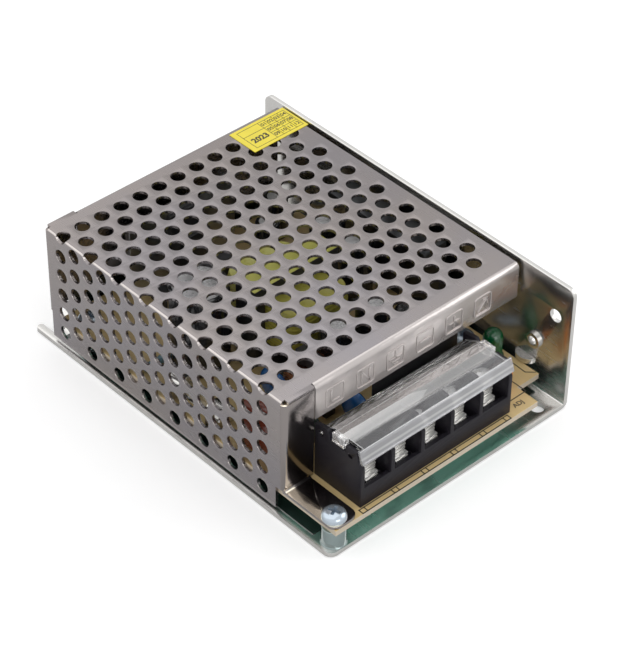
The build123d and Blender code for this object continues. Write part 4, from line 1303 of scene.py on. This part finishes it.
class SUPPLY_OT_capacitors(bpy.types.Operator):
    """Turn the capacitors"""

    bl_idname = "supply.capacitors"
    bl_label = "Capacitors"
    bl_options = {"REGISTER", "UNDO"}

    def execute(self, context):
        settings = context.scene.supply_part
        sleeve = coated("shrink_sleeve", settings.sleeve, 0.2)
        bare = plated_metal("bare_aluminium", (0.80, 0.80, 0.81), 0.28, (1.0, 1.0, 1.0), 0.2,
                            metallic=0.35)
        rubber = moulded("rubber_seal", (0.02, 0.02, 0.02), 0.6)
        finishes = [sleeve, bare, rubber]
        groups = (
            ("bulk_capacitor", "bulk_can", 7.5, [(16.0, 65.4)]),
            ("output_capacitors", "output_cans", 4.5,
             [(35.3, 37.9), (47.3, 37.9), (60.7, 58.5), (60.7, 68.8)]),
            ("small_capacitors", "rear_cans", 3.2, [(62.5, 90.0), (54.0, 83.5)]),
        )
        for node, name, radius, places in groups:
            top = high(node).z - BOARD_TOP
            shape = Shape()
            for x, y in places:
                centre = (BOARD_LOW.x + x, BOARD_LOW.y + y, BOARD_TOP)
                can(shape, centre, Z_AXIS, radius, top)
                for angle in (20, 140, 260):
                    end = Vector((cos(radians(angle)), sin(radians(angle)))) * (radius * 0.7)
                    stroke(shape, (0, 0), tuple(end), 0.25,
                           (centre[0], centre[1], BOARD_TOP + top - 0.25), X_AXIS, Y_AXIS,
                           (0, 0, 0.04), 1)
            place(name, shape, finishes, node, [node])
        blue = coated("blue_coating", settings.disc)
        dark = coated("dark_coating", (0.02, 0.035, 0.025))
        discs = (
            ("safety_capacitors", "blue_discs", blue, [(18.0, 40.8), (27.0, 22.4)], 4.8, 3.6),
            ("inrush_thermistor", "dark_disc", dark, [(15.0, 25.0)], 4.2, 3.2),
        )
        wire = plated_metal("tinned_wire", (0.6, 0.6, 0.58), 0.2)
        for node, name, finish, places, radius, thickness in discs:
            shape = Shape()
            for x, y in places:
                centre = Vector((BOARD_LOW.x + x, BOARD_LOW.y + y, BOARD_TOP + 1.5 + radius))
                profile = [
                    (radius * cos(radians(a)), thickness / 2 * sin(radians(a)))
                    for a in range(-90, 91, 15)
                ]
                shape.turned(profile, centre, X_AXIS)
                for side in (-1, 1):
                    foot = Vector((centre.x, centre.y + side * 2.5, BOARD_TOP))
                    shape.wire([foot, foot + Z_AXIS * 3.4], 0.35, 1)
            place(name, shape, [finish, wire], node, [node])
        red = coated("red_brown_coating", (0.20, 0.035, 0.015))
        softened("film_capacitor", "film_capacitor_case", 0.9, red, 3)
        return {"FINISHED"}


class SUPPLY_OT_mains_parts(bpy.types.Operator):
    """Dress the choke, the fuse and the bridge rectifier"""

    bl_idname = "supply.mains_parts"
    bl_label = "Mains Parts"
    bl_options = {"REGISTER", "UNDO"}

    def execute(self, context):
        ferrite = moulded("choke_ferrite", (0.02, 0.02, 0.02), 0.5, 0.00004, 1300.0)
        softened("choke_core", "choke_frame", 0.3, ferrite)
        copper = Finish("copper_wire", Metallic=0.7, Coat_Weight=0.6)
        turns = copper.bands(620.0, 0.4)
        copper.set(Base_Color=copper.mixed(turns, (0.10, 0.028, 0.01), (0.42, 0.16, 0.055)))
        copper.set(Roughness=copper.clouds(700.0) * 0.15 + 0.2)
        copper.relief(turns, 0.0002)
        softened("choke_windings", "choke_coils", 0.3, copper)
        caps = plated_metal("nickel_cap", (0.6, 0.59, 0.57), 0.18)
        glass = clear_plastic("fuse_glass", (0.93, 0.95, 0.95), 0.02)
        near, far = low("line_fuse"), high("line_fuse")
        centre = middle("line_fuse")
        radius = (far.x - near.x) / 2
        cap_length, tube_start, tube_end = 4.9, 4.8, 15.2
        shape = Shape()
        for start, turn in ((near.y, 1), (far.y, -1)):
            profile = [
                (0, 0), (radius - 0.3, 0), (radius, 0.3), (radius, cap_length), (0, cap_length),
            ]
            shape.turned(profile, (centre.x, start, centre.z), Y_AXIS * turn, 28, 1)
        tube = [(0, tube_start), (radius - 0.2, tube_start), (radius - 0.2, tube_end),
                (0, tube_end)]
        shape.turned(tube, (centre.x, near.y, centre.z), Y_AXIS, 28, 0)
        place("glass_fuse", shape, [glass, caps], "line_fuse", ["line_fuse"])
        softened("fuse_clips", "spring_clips", 0.12, caps)
        epoxy = moulded("black_epoxy", (0.018, 0.018, 0.02), 0.45)
        softened("bridge_rectifier", "bridge_case", 0.25, epoxy)
        return {"FINISHED"}


class SUPPLY_OT_power_parts(bpy.types.Operator):
    """Dress the heat sinks, power packages and small parts"""

    bl_idname = "supply.power_parts"
    bl_label = "Power Parts"
    bl_options = {"REGISTER", "UNDO"}

    def execute(self, context):
        bare = plated_metal("sink_aluminium", (0.50, 0.51, 0.52), 0.34, (0.1, 1.0, 1.0))
        dark = plated_metal("dark_aluminium", (0.10, 0.105, 0.11), 0.4, (1.0, 0.1, 1.0))
        epoxy = moulded("package_epoxy", (0.016, 0.016, 0.018), 0.4)
        white = moulded("white_moulding", (0.62, 0.61, 0.56), 0.4)
        sleeve = coated("inductor_sleeve", (0.012, 0.012, 0.012), 0.28)
        for node, name, finish in (
            ("primary_heatsink", "rear_sink", bare),
            ("output_heatsink", "side_sink", dark),
            ("switching_transistor", "rear_package", epoxy),
            ("output_rectifier", "side_package", epoxy),
            ("controller_chip", "controller_case", epoxy),
            ("optocoupler", "coupler_case", white),
        ):
            softened(node, name, 0.15, finish)
        softened("output_inductor", "sleeved_inductor", 0.5, sleeve, 3)
        lacquer = coated("resistor_lacquer", (0.14, 0.26, 0.32))
        wire = plated_metal("resistor_wire", (0.6, 0.6, 0.58), 0.2)
        rings = [coated("brown_ring", (0.10, 0.03, 0.01)), coated("black_ring", (0.01,) * 3),
                 coated("red_ring", (0.35, 0.01, 0.01)), coated("gold_ring", (0.45, 0.28, 0.06))]
        shape = Shape()
        waist = [(0.98, 1.7 + 0.4 * i) for i in range(7)] + [(0.98, 4.8)]
        profile = [(0, 0), (0.8, 0.0), (1.15, 0.4), (1.2, 0.9), (1.15, 1.3)] + waist
        profile += [(1.15, 5.2), (1.2, 5.6), (1.15, 6.1), (0.8, 6.5), (0, 6.5)]
        # Lacquer is 0, the wire is 1 and the rings are 2 to 5
        finishes = [0, 0, 0, 2, 0, 0, 3, 0, 4, 0, 2, 0, 0, 5, 0, 0, 0]
        for x, y in [(36.0, 86.5), (36.0, 82.5), (50.0, 27.0), (62.0, 22.0), (6.0, 70.5)]:
            start = Vector((BOARD_LOW.x + x - 3.25, BOARD_LOW.y + y, BOARD_TOP + 1.2))
            shape.turned(profile, start, X_AXIS, 20, 0, finishes)
            for end, turn in ((start, -1), (start + X_AXIS * 6.5, 1)):
                out = end + X_AXIS * turn * 1.0
                down = Vector((out.x + turn * 0.3, out.y, BOARD_TOP + 0.02))
                shape.wire([end, out, out + Vector((turn * 0.3, 0, -0.3)), down], 0.3, 1)
        place("lacquered_resistors", shape, [lacquer, wire] + rings, "resistors", ["resistors"])
        return {"FINISHED"}


# Stage


class SUPPLY_OT_stage(bpy.types.Operator):
    """Set the camera, the floor and the soft light"""

    bl_idname = "supply.stage"
    bl_label = "Camera, Floor and Light"
    bl_options = {"REGISTER", "UNDO"}

    def execute(self, context):
        settings = context.scene.supply_stage
        scene = context.scene
        scene.view_settings.view_transform = "Standard"
        lens = bpy.data.cameras.new("photo_camera")
        lens.lens = settings.lens
        lens.sensor_width = 36.0
        lens.clip_end = 20.0
        camera = bpy.data.objects.new("photo_camera", lens)
        scene.collection.objects.link(camera)
        azimuth, elevation, roll = radians(-42.98), radians(40.12), radians(0.71)
        camera.location = Vector((-319.4, -348.5, 411.7)) * MM
        turn = Euler((pi / 2 - elevation, 0, azimuth), "XYZ").to_matrix()
        camera.rotation_euler = (turn @ Matrix.Rotation(roll, 3, "Z")).to_euler()
        scene.camera = camera

        reach, drop = 3000, 0.2
        floor_shape = Shape()
        floor_shape.face([(-reach, -reach, 0), (reach, -reach, 0), (reach, reach, 0),
                          (-reach, reach, 0)])
        pale = Finish("pale_floor", Roughness=0.9)
        grain = pale.clouds(30.0)
        pale.set(Base_Color=pale.mixed(grain, (0.80, 0.80, 0.80), (0.82, 0.82, 0.82)))
        seen = pale.node("ShaderNodeLightPath").outputs["Is Camera Ray"]
        glow = pale.node("ShaderNodeEmission", None, {"Color": (1, 1, 1), "Strength": 0.32})
        both = pale.node(
            "ShaderNodeAddShader", None, {0: pale.shader.outputs[0], 1: glow.outputs[0]}
        )
        floor_mix = pale.node(
            "ShaderNodeMixShader", None,
            {0: seen, 1: pale.shader.outputs[0], 2: both.outputs[0]},
        )
        pale.shown(floor_mix)
        floor_mesh = floor_shape.mesh("floor")
        floor = bpy.data.objects.new("floor", floor_mesh)
        floor_mesh.materials.append(pale.material)
        floor.location.z = -drop * MM
        scene.collection.objects.link(floor)

        world = bpy.data.worlds.new("soft_sky")
        world.use_nodes = True
        scene.world = world
        sky = NodeTree(world.node_tree)
        path = sky.node("ShaderNodeLightPath").outputs
        seen = path["Is Camera Ray"]
        for kind in ("Is Glossy Ray", "Is Transmission Ray"):
            largest = sky.node("ShaderNodeMath", {"operation": "MAXIMUM"}, {0: seen, 1: path[kind]})
            seen = largest.outputs[0]
        plain, bright = [
            sky.node("ShaderNodeBackground", None, {"Color": (1.0, 1.0, 1.0), "Strength": strength})
            for strength in (settings.sky, 1.0)
        ]
        chosen = sky.node(
            "ShaderNodeMixShader", None, {0: seen, 1: plain.outputs[0], 2: bright.outputs[0]}
        )
        sky.node("ShaderNodeOutputWorld", None, {"Surface": chosen.outputs[0]})

        lamps = (
            ("main_lamp", (-0.15, 0.35, 0.75), 1.5, settings.lamp_power),
            ("side_lamp", (0.65, -0.35, 0.45), 0.6, settings.lamp_power * 0.4),
            ("front_lamp", (-0.15, -0.85, 0.35), 0.5, settings.lamp_power * 0.3),
        )
        for name, spot, size, power in lamps:
            light = bpy.data.lights.new(name, "AREA")
            light.shape = "SQUARE"
            light.size = size
            light.energy = power
            lamp = bpy.data.objects.new(name, light)
            lamp.location = spot
            aim = Vector((0, 0, 0.018)) - Vector(spot)
            lamp.rotation_euler = aim.to_track_quat("-Z", "Y").to_euler()
            scene.collection.objects.link(lamp)
        return {"FINISHED"}


class SUPPLY_PT_panel(bpy.types.Panel):
    """Sizes, colours and pieces of the power supply"""

    bl_idname = "SUPPLY_PT_panel"
    bl_label = "Power Supply"
    bl_space_type = "VIEW_3D"
    bl_region_type = "UI"
    bl_category = "Power Supply"

    def draw(self, context):
        layout = self.layout
        for group in GROUPS:
            settings = getattr(context.scene, group)
            column = layout.column()
            for name in settings.bl_rna.properties.keys():
                if name not in ("rna_type", "name"):
                    column.prop(settings, name)
        for maker in MAKERS:
            layout.operator(maker.bl_idname)


GROUPS = {
    "supply_cover": CoverSettings,
    "supply_terminal": TerminalSettings,
    "supply_board": BoardSettings,
    "supply_part": PartSettings,
    "supply_stage": StageSettings,
}

MAKERS = (
    SUPPLY_OT_stage,
    SUPPLY_OT_cover,
    SUPPLY_OT_lip_signs,
    SUPPLY_OT_base,
    SUPPLY_OT_case_screws,
    SUPPLY_OT_board,
    SUPPLY_OT_terminal_housing,
    SUPPLY_OT_terminal_metal,
    SUPPLY_OT_lid,
    SUPPLY_OT_lamp_and_trimmer,
    SUPPLY_OT_label,
    SUPPLY_OT_transformer,
    SUPPLY_OT_capacitors,
    SUPPLY_OT_mains_parts,
    SUPPLY_OT_power_parts,
)


def register():
    for group in GROUPS.values():
        bpy.utils.register_class(group)
    for name, group in GROUPS.items():
        setattr(bpy.types.Scene, name, PointerProperty(type=group))
    for maker in MAKERS:
        bpy.utils.register_class(maker)
    bpy.utils.register_class(SUPPLY_PT_panel)


def unregister():
    bpy.utils.unregister_class(SUPPLY_PT_panel)
    for maker in reversed(MAKERS):
        bpy.utils.unregister_class(maker)
    for name in GROUPS:
        delattr(bpy.types.Scene, name)
    for group in reversed(list(GROUPS.values())):
        bpy.utils.unregister_class(group)


def main():
    """Build every piece in order."""
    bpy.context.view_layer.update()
    register()
    for maker in MAKERS:
        group, name = maker.bl_idname.split(".")
        getattr(getattr(bpy.ops, group), name)()
    bpy.context.view_layer.update()


if __name__ == "__main__":
    main()
